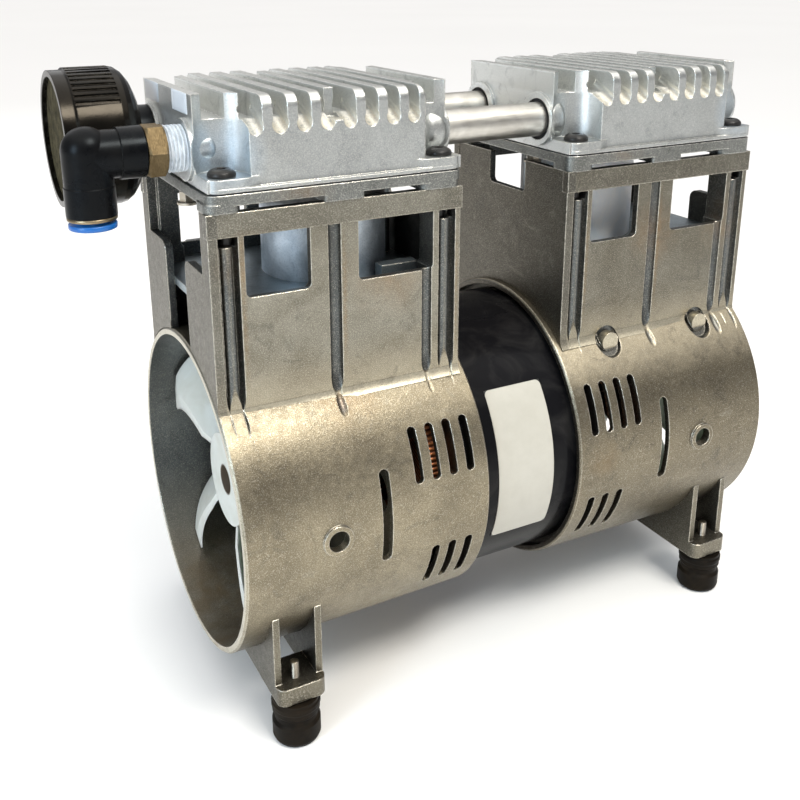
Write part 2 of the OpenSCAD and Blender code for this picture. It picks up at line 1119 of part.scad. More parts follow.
module head_gasket_right() {
    color(dark_steel)
        placed()
            head_gasket();
}

module head_gasket_left() {
    color(dark_steel)
        placed()
            turned()
                head_gasket();
}

// Side profile of the head with rounded top edges
module head_profile() {
    r = 6;
    translate([-head_y, head_z])
        square([2 * head_y, head_top - r - head_z]);
    translate([-head_y + r, head_top - r - 1])
        square([2 * (head_y - r), r + 1]);
    for (s = [-1, 1])
        translate([s * (head_y - r), head_top - r])
            circle(r = r, $fn = 64);
}

// Valley between two fins, with a scooped lip at the front and the back
module valley_cut(x) {
    w = x[1] - x[0];
    mid = (x[0] + x[1]) / 2;
    scoop_r = w / 2 + 0.5;
    slope = 24;
    block(x, [-head_y - 3, head_y + 3], [valley_z, head_top + 2]);
    front_and_back()
        translate([mid, -head_y, lip_z])
            rotate([slope, 0, 0])
                if (w < 8)
                    translate([0, 19, scoop_r])
                        rotate([90, 0, 0])
                            cylinder(r = scoop_r, h = 30, $fn = 48);
                else
                    block([-w / 2, w / 2], [-11, 14], [0, 20]);
}

// Corner lands that the screws bear on, above a low flange, each easing into the long side
module head_flange() {
    inset = 0.15;
    round_block(corner_r, [0, head_len], [-flange_y, flange_y], [head_z, flange_z]);
    front_and_back()
        for (side = [0, 1])
            translate([side * head_len, 0, 0])
                mirror([side, 0, 0]) {
                    post(corner_r - inset, corner_r, -flange_y + corner_r, [head_z + 1, land_z]);
                    block([inset, corner_r], [-flange_y + corner_r, -40], [head_z + 1, land_z]);
                    block([corner_r, 17], [-flange_y + inset, -40], [head_z + 1, land_z]);
                    translate([0, 0, head_z + 1])
                        linear_extrude(land_z - head_z - 1)
                            polygon([
                                [16, -flange_y + inset], [17, -flange_y + inset], [19, -59],
                                [21, -58.3], [23, -57.5], [26, -56.7], [26, -42], [16, -42]
                            ]);
                }
}

// Head drawn from its own left end
module head_casting() {
    edges = concat([end_wall], [for (t = fin_t) each [t - fin_w / 2, t + fin_w / 2]],
        [head_len - end_wall]);
    centre = 4;
    difference() {
        union() {
            profile_x([0, head_len])
                head_profile();
            head_flange();
            for (s = [-1, 1]) {
                bar_x(14.5, [-2, 4], s * (port_y - 1), port_z);
                bar_x(14.5, [head_len - 4, port_face_u - head_u], s * (port_y - 1), port_z);
            }
        }
        for (i = [0:2:len(edges) - 2])
            valley_cut([edges[i], edges[i + 1]]);
        front_and_back()
            block([fin_t[centre] - 3, fin_t[centre] + 3], [-head_y - 2, -head_y + 13],
                [valley_z - 2, head_top + 1]);
        front_and_back()
            block([screw_t[0], fin_t[0] + fin_w / 2 + 0.05], [-flange_y - 1, -screw_y - 6],
                [land_z, head_top + 1]);
        for (t = screw_t)
            for (s = [-1, 1]) {
                post(pocket_r, t, s * screw_y, [land_z, head_top + 2]);
                post(screw_r + 0.3, t, s * screw_y, [head_z - 1, land_z + 1]);
            }
    }
}

// Sockets for the transfer tubes and their seals in the ends that face the motor
module tube_sockets() {
    for (s = [-1, 1]) {
        bar_x(tube_r + 0.05, [-head_u - tube_depth, head_u + tube_depth], s * port_y, port_z);
        bar_x(seal_r + 0.05, [-head_u - seal_half, head_u + seal_half], s * port_y, port_z);
    }
}

// Threaded port in the left head's outer end
module outer_port(y, z) {
    bar_x(port_r + 0.1, [-port_face_u - 1, -port_face_u + port_depth], y, z);
}

module head_right() {
    color(cast_cool)
        placed()
            difference() {
                translate([head_u, 0, 0])
                    head_casting();
                tube_sockets();
            }
}

module head_left() {
    color(cast_cool)
        placed()
            difference() {
                translate([-head_u - head_len, 0, 0])
                    head_casting();
                tube_sockets();
                outer_port(-port_y, stud_z);
                outer_port(port_y, port_z);
            }
}

// Button screws through head, gasket and plate into the corner posts
module head_screws() {
    dome = 3.6;
    color([0.08, 0.08, 0.08])
        placed()
            for (turn = [0, 180])
                rotate([0, 0, turn])
                    for (t = screw_t)
                        for (s = [-1, 1])
                            translate([head_u + t, s * screw_y, land_z]) {
                                difference() {
                                    rotate_extrude()
                                        polygon([
                                            [0, 0], [6.2, 0], [6.5, 0.5], [6.5, 1.3], [6.1, 2.2],
                                            [5.2, 3], [4, dome], [0, dome]
                                        ]);
                                    translate([0, 0, dome - 1.6])
                                        cylinder(r = 2.3, h = 3, $fn = 6);
                                }
                                translate([0, 0, -33])
                                    cylinder(r = screw_r, h = 34);
                            }
}

// Transfer tubes between the heads

module transfer_tubes() {
    reach = head_u + tube_depth;
    color(bright)
        placed()
            for (s = [-1, 1])
                pipe_x(tube_r, tube_r - 1.5, [-reach, reach], s * port_y, port_z);
}

module tube_seals() {
    color(black_plastic)
        placed()
            for (s = [-1, 1])
                for (u = [-head_u, head_u])
                    pipe_x(seal_r, tube_r + 0.02, [u - seal_half, u + seal_half], s * port_y, port_z);
}

// Intake fitting on the left head's front port

// Brass stud: thread into the head, taped shank, hexagon, and the spigot that the elbow turns on
module intake_stud() {
    hex_across = 22.2;
    color([0.75, 0.62, 0.36])
        placed()
            difference() {
                union() {
                    bar_x(port_r, [-port_face_u - 1, -port_face_u + port_depth - 1], -port_y, stud_z);
                    bar_x(10.7, [-hex_u[0] - 1, -port_face_u], -port_y, stud_z);
                    along_x(-hex_u[1], -port_y, stud_z)
                        rotate([0, 0, 30])
                            cylinder(r = hex_across / sqrt(3), h = hex_u[1] - hex_u[0], $fn = 6);
                    bar_x(spigot_r, [-hex_u[1] - spigot_len, -hex_u[1] + 1], -port_y, stud_z);
                }
                bar_x(passage_r, [-elbow_u, -head_u - 90], -port_y, stud_z);
            }
}

// Black elbow: a level arm with a step, and a domed upright body with a thicker skirt
module elbow_body() {
    arm_end_u = hex_u[1] + 0.5;
    step_u = 195;
    body_r = elbow_r - 0.35;
    skirt_top = elbow_z + 13;
    dome_z = 314 - body_r;
    color(black_plastic)
        placed()
            difference() {
                union() {
                    bar_x(elbow_r + 0.5, [-step_u, -arm_end_u], -port_y, stud_z);
                    bar_x(body_r - 0.05, [-elbow_u, -step_u + 1], -port_y, stud_z);
                    translate([-elbow_u, -port_y, dome_z])
                        sphere(r = body_r);
                    post(body_r, -elbow_u, -port_y, [skirt_top - 1, dome_z]);
                    post(elbow_r, -elbow_u, -port_y, [elbow_z, skirt_top]);
                }
                bar_x(spigot_r + 0.05, [-arm_end_u - spigot_len, -arm_end_u + 1], -port_y, stud_z);
                bar_x(passage_r, [-elbow_u, -arm_end_u], -port_y, stud_z);
                post(passage_r, -elbow_u, -port_y, [skirt_top, stud_z + 4]);
                post(socket_r, -elbow_u, -port_y, [elbow_z - 1, elbow_z + 16.5]);
            }
}

module elbow_ring() {
    color([0.6, 0.55, 0.45])
        placed()
            difference() {
                post(elbow_r - 0.1, -elbow_u, -port_y, [ring_z, elbow_z]);
                post(socket_r + 0.3, -elbow_u, -port_y, [ring_z - 1, elbow_z + 1]);
            }
}

// Collar that is pushed in to free the tube
module release_collar() {
    flange_z = [266, ring_z - 1.9];
    collar_top = elbow_z + 12;
    tube_bore_r = 6.4;
    color([0.05, 0.35, 0.85])
        placed()
            difference() {
                union() {
                    post(10.6, -elbow_u, -port_y, flange_z);
                    post(socket_r - 0.35, -elbow_u, -port_y, [flange_z[1] - 1, collar_top]);
                }
                post(tube_bore_r, -elbow_u, -port_y, [flange_z[0] - 1, collar_top + 1]);
            }
}

// Muffler on the left head's rear port

module muffler_neck() {
    color(black_plastic)
        placed()
            difference() {
                union() {
                    bar_x(14, [-muffler_u[0], -port_face_u], port_y, port_z);
                    bar_x(port_r, [-port_face_u - 1, -port_face_u + port_depth - 1], port_y, port_z);
                    bar_x(neck_spigot_r, [-muffler_u[0] - 6, -muffler_u[0] + 1], port_y, port_z);
                }
                bar_x(passage_r, [-elbow_u, -head_u - 90], port_y, port_z);
            }
}

// Shell of the muffler: open outer face, rounded back, grooves along its upper front
module muffler_body() {
    shoulder_u = 184.5;
    groove_step = 6;
    groove_u = [shoulder_u, 205];
    depth = muffler_u[1] - muffler_u[0];
    color(black_plastic)
        placed()
            difference() {
                along_x(-muffler_u[1], port_y, port_z)
                    rotate_extrude()
                        polygon(concat(
                            [
                                [0, felt_depth], [felt_r, felt_depth], [felt_r, 0],
                                [muffler_r - 1, 0], [muffler_r - 1, 6], [muffler_r, 7]
                            ],
                            [for (a = [0:15:90]) [
                                neck_r + (muffler_r - neck_r) * cos(a),
                                muffler_u[1] - shoulder_u + (shoulder_u - muffler_u[0]) * sin(a)
                            ]],
                            [[0, depth]]
                        ));
                for (i = [0:11])
                    translate([0, port_y, port_z])
                        rotate([groove_step * (i - 2), 0, 0])
                            block([-groove_u[1], -groove_u[0]], [-1, 1], [muffler_r - 1, muffler_r + 3]);
                bar_x(neck_spigot_r + 0.05, [-muffler_u[1] + felt_depth - 1, -port_face_u],
                    port_y, port_z);
            }
}

module muffler_element() {
    color([0.42, 0.39, 0.25])
        placed()
            bar_x(felt_r, [-muffler_u[1] + 2.5, -muffler_u[1] + felt_depth], port_y, port_z);
}

// Feet

module at_feet() {
    for (x = [-foot_u, foot_u])
        for (y = [-foot_y, foot_y])
            translate([x, y, 0])
                children();
}

module foot_studs() {
    color(bright)
        placed()
            at_feet()
                translate([0, 0, 10])
                    cylinder(r = 2.45, h = 34.5);
}

module foot_washers() {
    color([0.3, 0.3, 0.3])
        placed()
            at_feet()
                translate([0, 0, foot_h])
                    difference() {
                        cylinder(r = 8, h = 1);
                        translate([0, 0, -1])
                            cylinder(r = 2.5, h = 3);
                    }
}

// Rubber foot with a ridge, a waist and a rounded bottom edge
module rubber_feet() {
    r = 12.7;
    color([0.09, 0.08, 0.08])
        placed()
            at_feet()
                difference() {
                    rotate_extrude($fn = 64)
                        polygon([
                            [0, 0], [r - 3, 0], [r - 1, 0.8], [r - 0.2, 2.6], [r - 0.2, 11],
                            [r - 1.6, 12.6], [r - 1.6, 15.4], [r - 0.4, 17], [r - 0.4, 19.5],
                            [r, 20.3], [r, 22.4], [r - 0.6, 23.2], [r - 0.6, foot_h], [0, foot_h]
                        ]);
                    translate([0, 0, 10])
                        cylinder(r = 2.45, h = 20);
                }
}

housing_left();
housing_right();
tower_left();
tower_right();
deck_left();
deck_right();
legs_left();
legs_right();
motor_shell();
label_plate();
stator_core();
stator_windings();
through_bolts();
through_bolt_nuts();
main_bearings();
cylinder_sleeve_left();
cylinder_sleeve_right();
valve_plate_left();
valve_plate_right();
valve_reeds();
valve_screws();
head_gasket_left();
head_gasket_right();
head_left();
head_right();
head_screws();
transfer_tubes();
tube_seals();
intake_stud();
muffler_neck();
muffler_body();
muffler_element();
foot_studs();
foot_washers();
rubber_feet();
motor_shaft();
rotor_core();
eccentric_left();
eccentric_right();
fan_left();
fan_right();
piston_rod_left();
piston_rod_right();
rod_bearing_left();
rod_bearing_right();
cup_seal_left();
cup_seal_right();
cup_retainer_left();
cup_retainer_right();
elbow_body();
elbow_ring();
release_collar();
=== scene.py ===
# Oil-less twin-head vacuum pump: looks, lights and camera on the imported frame.
# Positions are given in millimetres on the drawing's axes, with the motor's middle at X = 0.
# at() turns a point into the frame's metres, and Graph.ramp() sets a length against such marks.
import json
import math

import bpy
from mathutils import Matrix, Vector


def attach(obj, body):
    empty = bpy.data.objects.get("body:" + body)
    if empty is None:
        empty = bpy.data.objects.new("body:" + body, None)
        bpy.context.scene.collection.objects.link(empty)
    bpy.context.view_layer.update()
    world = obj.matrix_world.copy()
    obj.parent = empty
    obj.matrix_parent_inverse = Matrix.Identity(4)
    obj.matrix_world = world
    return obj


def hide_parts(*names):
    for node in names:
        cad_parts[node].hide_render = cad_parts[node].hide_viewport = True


# Places of the solids that this script builds on
SHIFT_X = 27.0
SHAFT_Z = 112.0
HEAD_OUTER = 163.5
PORT_Y = 29.5
PORT_Z = 300.0
STUD_Z = 301.2
ELBOW_X = -208.3
FOOT_X = 139.0
FOOT_Y = 75.6
TOWER_FACE = 57.0
TOWER_TOP = 274.5
REGISTER_R = 85.3
SHELL_R = 79.9

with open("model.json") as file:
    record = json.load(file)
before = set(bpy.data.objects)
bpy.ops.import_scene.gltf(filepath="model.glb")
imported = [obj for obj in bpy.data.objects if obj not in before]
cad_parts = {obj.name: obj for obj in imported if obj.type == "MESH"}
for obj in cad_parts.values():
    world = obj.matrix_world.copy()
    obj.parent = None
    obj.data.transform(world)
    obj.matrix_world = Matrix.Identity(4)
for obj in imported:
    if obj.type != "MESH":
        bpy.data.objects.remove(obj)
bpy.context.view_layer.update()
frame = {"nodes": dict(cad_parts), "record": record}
nodes = frame["nodes"]


def at(x, y, z):
    """A point of the drawing, in the frame's metres."""
    return Vector(((x + SHIFT_X) / 1000, y / 1000, z / 1000))


# Material graphs

class Graph:
    """A principled material whose inputs are built from procedural nodes."""

    def __init__(self, name, color=(0.8, 0.8, 0.8), metallic=0.0, roughness=0.5, **sockets):
        self.mat = bpy.data.materials.new(name)
        self.mat.use_nodes = True
        self.tree = self.mat.node_tree
        self.tree.nodes.clear()
        out = self.tree.nodes.new("ShaderNodeOutputMaterial")
        self.shader = self.tree.nodes.new("ShaderNodeBsdfPrincipled")
        self.tree.links.new(self.shader.outputs[0], out.inputs[0])
        self.place = self.tree.nodes.new("ShaderNodeTexCoord").outputs["Object"]
        self.calm = None
        self.set("Base Color", color)
        self.set("Metallic", metallic)
        self.set("Roughness", roughness)
        for key, value in sockets.items():
            self.set(key.replace("_", " "), value)

    def set(self, socket, value):
        target = self.shader.inputs[socket]
        if isinstance(value, bpy.types.NodeSocket):
            self.tree.links.new(value, target)
        elif isinstance(value, (tuple, list)) and len(value) == 3 and target.type == "RGBA":
            target.default_value = (*value, 1)
        else:
            target.default_value = value

    def node(self, kind, inputs=(), **settings):
        n = self.tree.nodes.new("ShaderNode" + kind)
        for key, value in settings.items():
            setattr(n, key, value)
        for key, value in dict(inputs).items():
            target = n.inputs[key]
            if isinstance(value, bpy.types.NodeSocket):
                self.tree.links.new(value, target)
            elif isinstance(value, (tuple, list)) and target.type == "RGBA":
                target.default_value = (*value, 1)
            else:
                target.default_value = value
        return n

    def stretched(self, sx, sy, sz):
        return self.node("Mapping", {"Vector": self.place, "Scale": (sx, sy, sz)}).outputs[0]

    def noise(self, scale, detail=3.0, roughness=0.55, distortion=0.0, place=None):
        return self.node("TexNoise", {
            "Vector": place or self.place, "Scale": scale, "Detail": detail,
            "Roughness": roughness, "Distortion": distortion,
        }).outputs["Fac"]

    def math(self, operation, a, b=0.0, clamp=False):
        return self.node("Math", {0: a, 1: b}, operation=operation, use_clamp=clamp).outputs[0]

    def fit(self, value, low, high, to_low=0.0, to_high=1.0):
        return self.node("MapRange", {
            "Value": value, "From Min": low, "From Max": high,
            "To Min": to_low, "To Max": to_high,
        }).outputs[0]

    def ramp(self, length, low, high, to_low=0.0, to_high=1.0):
        """fit() for a length in metres between two marks in millimetres."""
        return self.fit(length, low / 1000, high / 1000, to_low, to_high)

    def times(self, *factors):
        total = factors[0]
        for factor in factors[1:]:
            total = self.math("MULTIPLY", total, factor)
        return total

    def distance(self, a, b):
        """Length of the diagonal over two lengths."""
        return self.math("SQRT", self.math("ADD", self.times(a, a), self.times(b, b)))

    def mix(self, factor, a, b):
        n = self.node("Mix", data_type="RGBA")
        for index, value in ((0, factor), (6, a), (7, b)):
            if isinstance(value, bpy.types.NodeSocket):
                self.tree.links.new(value, n.inputs[index])
            elif isinstance(value, (tuple, list)):
                n.inputs[index].default_value = (*value, 1)
            else:
                n.inputs[index].default_value = value
        return n.outputs[2]

    def clouded(self, cloud, dark, pale):
        return self.mix(self.fit(cloud, 0.32, 0.68), dark, pale)

    def round_edges(self, radius):
        """Rounded normals; the radius is in millimetres, or a socket in metres."""
        if not isinstance(radius, bpy.types.NodeSocket):
            radius = radius / 1000
        return self.node("Bevel", {"Radius": radius}, samples=4).outputs[0]

    def edge(self, rounded, low=0.995, high=0.86):
        """1 where the rounded normal turns away from the plain one, along an edge."""
        plain = self.node("NewGeometry").outputs["Normal"]
        dot = self.node("VectorMath", {0: rounded, 1: plain}, operation="DOT_PRODUCT")
        return self.fit(dot.outputs["Value"], low, high)

    def hollow(self, reach, samples=4):
        """1 on open surfaces, less in corners; the reach is in millimetres."""
        return self.node("AmbientOcclusion", {"Distance": reach / 1000},
                         samples=samples).outputs["AO"]

    def bump(self, height, strength=0.3, distance=0.2, normal=None):
        inputs = {"Height": height, "Strength": strength, "Distance": distance / 1000}
        if normal is not None:
            inputs["Normal"] = normal
        return self.node("Bump", inputs).outputs[0]

    def parts(self):
        """The point on the frame's axes."""
        n = self.node("SeparateXYZ", {0: self.place})
        return n.outputs[0], n.outputs[1], n.outputs[2]

    def facing(self):
        """The way the surface looks, in three parts."""
        plain = self.node("NewGeometry").outputs["Normal"]
        n = self.node("SeparateXYZ", {0: plain})
        return n.outputs[0], n.outputs[1], n.outputs[2]

    def end_faces(self, low=0.6, high=0.9, most=1.0):
        """Up to 1, or most, on faces that look along the shaft."""
        return self.fit(self.math("ABSOLUTE", self.facing()[0]), low, high, 0.0, most)

    def machine_x(self):
        """Place along the shaft, with the motor's middle at 0."""
        return self.math("SUBTRACT", self.parts()[0], SHIFT_X / 1000)

    def from_middle(self):
        """Distance along the shaft from the motor's middle."""
        return self.math("ABSOLUTE", self.machine_x())

    def beside_shaft(self):
        """Place across the shaft, sideways and upwards from its axis."""
        _, y, z = self.parts()
        return y, self.math("SUBTRACT", z, SHAFT_Z / 1000)

    def from_shaft(self):
        """Distance from the shaft's axis."""
        return self.distance(*self.beside_shaft())

    def along(self, length, low, high, soft=0.5):
        """1 where a length lies between two millimetre marks, 0 outside."""
        return self.times(self.ramp(length, low - soft, low + soft),
                          self.ramp(length, high + soft, high - soft))

    def spot(self, centre, radius, soft):
        """1 at a point of the object, falling to 0 at a radius, all in millimetres."""
        gap = self.node("VectorMath", {0: self.place, 1: at(*centre)}, operation="DISTANCE")
        return self.ramp(gap.outputs["Value"], radius, radius * (1 - soft))


# Colours and measures that the looks use

CAST_ROUNDING = 0.9
SHARP_ROUNDING = 0.02
END_FACE_SHADE = (0.075, 0.062, 0.042)
# Warm casting tone with a painted golden reflection of the surroundings
GOLDEN_TONE_AND_REFLECTION = ((0.195, 0.165, 0.112), (0.315, 0.27, 0.185))
PALE_CASTING = (0.300, 0.285, 0.235)
SHADED_CASTING = (0.05, 0.046, 0.038)
BLACK_GLOSS = (0.006, 0.006, 0.007)
BROWN = (0.23, 0.16, 0.085)
RUST = (0.36, 0.20, 0.08)
PLATE_RUST = (0.30, 0.19, 0.09)
WARM_GRIME_SHADE_AND_EDGE = ((0.045, 0.043, 0.038), (0.74, 0.70, 0.60))
LABEL_X, LABEL_HALF_X = -2.0, 18.0
LABEL_ARC, LABEL_HALF_ARC = math.radians(7.5), math.radians(31.5)
LABEL_CORNER = 3.2


def cast_metal(name, tint, light, grime_and_shade_tint, edge_tint, stains=(), reach=10, dress=None,
               calm_radius=None, grime_and_shade_share=0.75):
    """Blasted die-cast aluminium: fine grain with painted glints, clouds of tint, crevices
    darkened by a grimy film and by painted shade, and edges paled by wear and by a painted
    highlight.
    stains are (centre, radius, colour, depth), and reach is how far the darkening of a crevice
    spreads.
    dress(g, color, cloud, coarse) may change the colour before the stains and edges go on, and
    set g.calm where edges get no painted highlight. Nearer to the shaft's axis than calm_radius a
    flare meets the bell, and there edges and crevices stay plain, without painted highlight or
    shade."""
    g = Graph(name, metallic=0.9, roughness=0.42)
    grain = g.noise(2100, 1, 0.5)
    coarse = g.noise(640, 3, 0.6)
    cloud = g.noise(26, 4, 0.6, 0.6)
    blot = g.noise(75, 5, 0.68, 1.2)
    patch = g.noise(90, 3, 0.55)
    rounding = CAST_ROUNDING
    if calm_radius:
        rounding = g.ramp(g.from_shaft(), calm_radius, calm_radius + 3, SHARP_ROUNDING / 1000,
                          CAST_ROUNDING / 1000)
    rounded = g.round_edges(rounding)
    edge = g.edge(rounded)
    # Crevices and hollows darken: patches of grime and painted shade
    crevice_dirt_and_shade = g.times(g.fit(g.hollow(reach, 6), 0.85, 0.15), g.fit(patch, 0.25, 0.6, 0.55, 1.0))
    if calm_radius:
        crevice_dirt_and_shade = g.times(crevice_dirt_and_shade, g.ramp(g.from_shaft(), calm_radius, calm_radius + 12, 0.2, 1.0))
    color = g.clouded(cloud, tint, light)
    if dress:
        color = dress(g, color, cloud, coarse)
    color = g.mix(g.fit(blot, 0.46, 0.30, 0.0, 0.38), color, grime_and_shade_tint)
    color = g.mix(g.fit(blot, 0.58, 0.72, 0.0, 0.35), color, light)
    color = g.mix(g.fit(grain, 0.60, 0.30, 0.0, 0.26), color, grime_and_shade_tint)
    # Pale speckle in the grain: painted glints
    color = g.mix(g.fit(grain, 0.52, 0.80, 0.0, 0.42), color, edge_tint)
    for centre, radius, stain, depth in stains:
        soft = g.times(g.spot(centre, radius, 0.9), g.fit(patch, 0.35, 0.62, 0.2, 1.0))
        color = g.mix(g.times(soft, depth), color, stain)
    color = g.mix(g.times(crevice_dirt_and_shade, grime_and_shade_share), color, grime_and_shade_tint)
    # Pale edges: wear broken up by noise, and a painted highlight along the rounded edges
    chip_and_highlight = g.times(edge, g.fit(coarse, 0.36, 0.58, 0.35, 1.0))
    if g.calm is not None:
        chip_and_highlight = g.times(chip_and_highlight, g.math("SUBTRACT", 1.0, g.calm))
    color = g.mix(chip_and_highlight, color, edge_tint)
    g.set("Base Color", color)
    rough = g.fit(g.noise(260, 3, 0.6), 0.3, 0.7, 0.33, 0.46)
    g.set("Roughness", g.math("SUBTRACT", rough, g.times(edge, 0.12)))
    fine = g.bump(grain, 0.5, 0.14, rounded)
    g.set("Normal", g.bump(coarse, 0.30, 0.24, fine))
    return g.mat


def turned_metal(name, color, dark, roughness=0.3, stretch=(40, 1, 1), scratch=900,
                 bright=(0.95, 0.94, 0.90), metallic=1.0, shaded_above=None):
    """Turned or drawn metal with fine lines along one axis and faint handling marks.
    shaded_above is the height in millimetres where a band of painted shade begins."""
    g = Graph(name, metallic=metallic, roughness=roughness)
    lines = g.noise(scratch, 2, 0.6, 0.0, g.stretched(*stretch))
    smear = g.noise(60, 3, 0.6, 0.8)
    rounded = g.round_edges(0.35)
    edge = g.edge(rounded)
    base = g.mix(g.fit(smear, 0.35, 0.7), color, dark)
    base = g.mix(g.fit(lines, 0.55, 0.75, 0.0, 0.35), base, dark)
    if shaded_above:
        grain = g.noise(1500, 2, 0.6)
        base = g.mix(g.fit(grain, 0.50, 0.68, 0.0, 0.45), base, dark)
        # Painted shade on the top of the sleeve, under the valve plate
        height = g.math("ADD", g.parts()[2], g.times(smear, 0.006))
        shaded_top = g.ramp(height, shaded_above, shaded_above + 7, 0.0, 0.92)
        base = g.mix(shaded_top, base, (0.075, 0.068, 0.055))
    g.set("Base Color", g.mix(g.times(edge, 0.4), base, bright))
    g.set("Roughness", g.fit(lines, 0.3, 0.7, roughness * 0.8, roughness * 1.35))
    g.set("Normal", g.bump(lines, 0.12, 0.06, rounded))
    return g.mat


def moulded(name, color, light, roughness=0.35, grain=900, coat=0.0, depth=0.10, shine=0.5,
            reflection_tint=(1, 1, 1)):
    """Moulded plastic: soft unevenness, fine texture, dust in the corners and rubbed edges."""
    g = Graph(name, roughness=roughness, Coat_Weight=coat, Coat_Roughness=0.12,
              Specular_IOR_Level=shine, Specular_Tint=(*reflection_tint, 1))
    rounded = g.round_edges(0.7)
    edge = g.edge(rounded)
    smear = g.noise(70, 4, 0.6, 0.5)
    fine = g.noise(grain, 2, 0.6)
    base = g.mix(g.fit(smear, 0.4, 0.72, 0.0, 0.5), color, light)
    base = g.mix(g.times(edge, 0.3), base, light)
    dust = g.times(g.fit(g.hollow(6), 0.6, 0.1), g.fit(g.noise(220, 3), 0.45, 0.7))
    base = g.mix(g.times(dust, 0.25), base, (0.30, 0.28, 0.24))
    g.set("Base Color", base)
    g.set("Roughness", g.fit(smear, 0.3, 0.7, roughness * 0.8, roughness * 1.4))
    g.set("Normal", g.bump(fine, 0.25, depth, rounded))
    return g.mat


def end_shade(g, color, clear=None):
    """Painted shade on the faces that look along the shaft, apart from the clear places."""
    level = g.end_faces()
    if clear is not None:
        level = g.times(level, g.math("SUBTRACT", 1.0, clear))
    return g.mix(g.times(level, 0.55), color, END_FACE_SHADE)


def bell_tints(g, color, cloud, coarse):
    """Golden bells with a painted warm reflection; painted shade inside, in the grooves, on the
    register, low on the right bell and under the left flare; painted light high on the right bell
    and on the mouth.
    """
    x, out_x, z = g.machine_x(), g.from_middle(), g.parts()[2]
    y, up = g.beside_shaft()
    _, ny, nz = g.facing()
    color = g.clouded(cloud, *GOLDEN_TONE_AND_REFLECTION)
    right = g.ramp(x, 3, 33)
    # Painted shade on the lower part of the right bell
    color = g.mix(g.times(right, g.ramp(z, 166, 146), 0.46), color, (0.085, 0.072, 0.05))
    # Painted highlight on the right bell just under its tower
    color = g.mix(g.times(right, g.along(z, 158, 182, 6), 0.5), color, (0.56, 0.49, 0.36))
    # Painted shade on the left bell where it meets the flare
    color = g.mix(g.times(g.ramp(x, 3, -27), g.ramp(z, 168, 178), 0.35), color,
                  (0.12, 0.108, 0.08))
    # Positive on surfaces that look away from the shaft, negative on those that look at it
    outward = g.math("ADD", g.times(y, ny), g.times(up, nz))
    # Painted shade inside the bell, bluish, with painted light that grows paler and warmer towards
    # the bottom
    blue = g.clouded(cloud, (0.105, 0.114, 0.116), (0.19, 0.20, 0.195))
    blue = g.mix(g.ramp(z, 85, 35, 0.0, 0.8), blue, (0.36, 0.32, 0.25))
    inside = g.times(g.ramp(outward, -10, -40), g.ramp(g.from_shaft(), 99, 96),
                     g.ramp(out_x, 70, 76))
    color = g.mix(inside, color, blue)
    # The bell's skin widens evenly towards its mouth, and what lies below it is a groove, painted
    # in shade
    skin = g.ramp(out_x, 30, 165.5, 0.0860, 0.08765)
    depth = g.math("SUBTRACT", skin, g.from_shaft())
    groove = g.times(g.ramp(depth, 0.3, 0.8), g.ramp(outward, 0, 30), g.ramp(z, 160, 166))
    color = g.mix(g.times(groove, 0.85), color, (0.075, 0.083, 0.088))
    # Painted highlight on the end face of the mouth
    mouth = g.times(g.ramp(out_x, 160, 162.5), g.ramp(z, 207, 200))
    color = g.mix(g.times(g.end_faces(), mouth, 0.75), color, (0.70, 0.66, 0.55))
    # The register in which the motor's shell sits, painted in shade and kept free of painted edge
    # highlight
    register = g.times(g.ramp(out_x, 50, 46), g.ramp(g.from_shaft(), REGISTER_R + 0.3, REGISTER_R),
                       g.ramp(outward, 0.9 * REGISTER_R, 0.5 * REGISTER_R))
    color = g.mix(g.times(register, 0.9), color, (0.045, 0.035, 0.024))
    g.calm = register
    return end_shade(g, color, g.math("ADD", mouth, register, clamp=True))


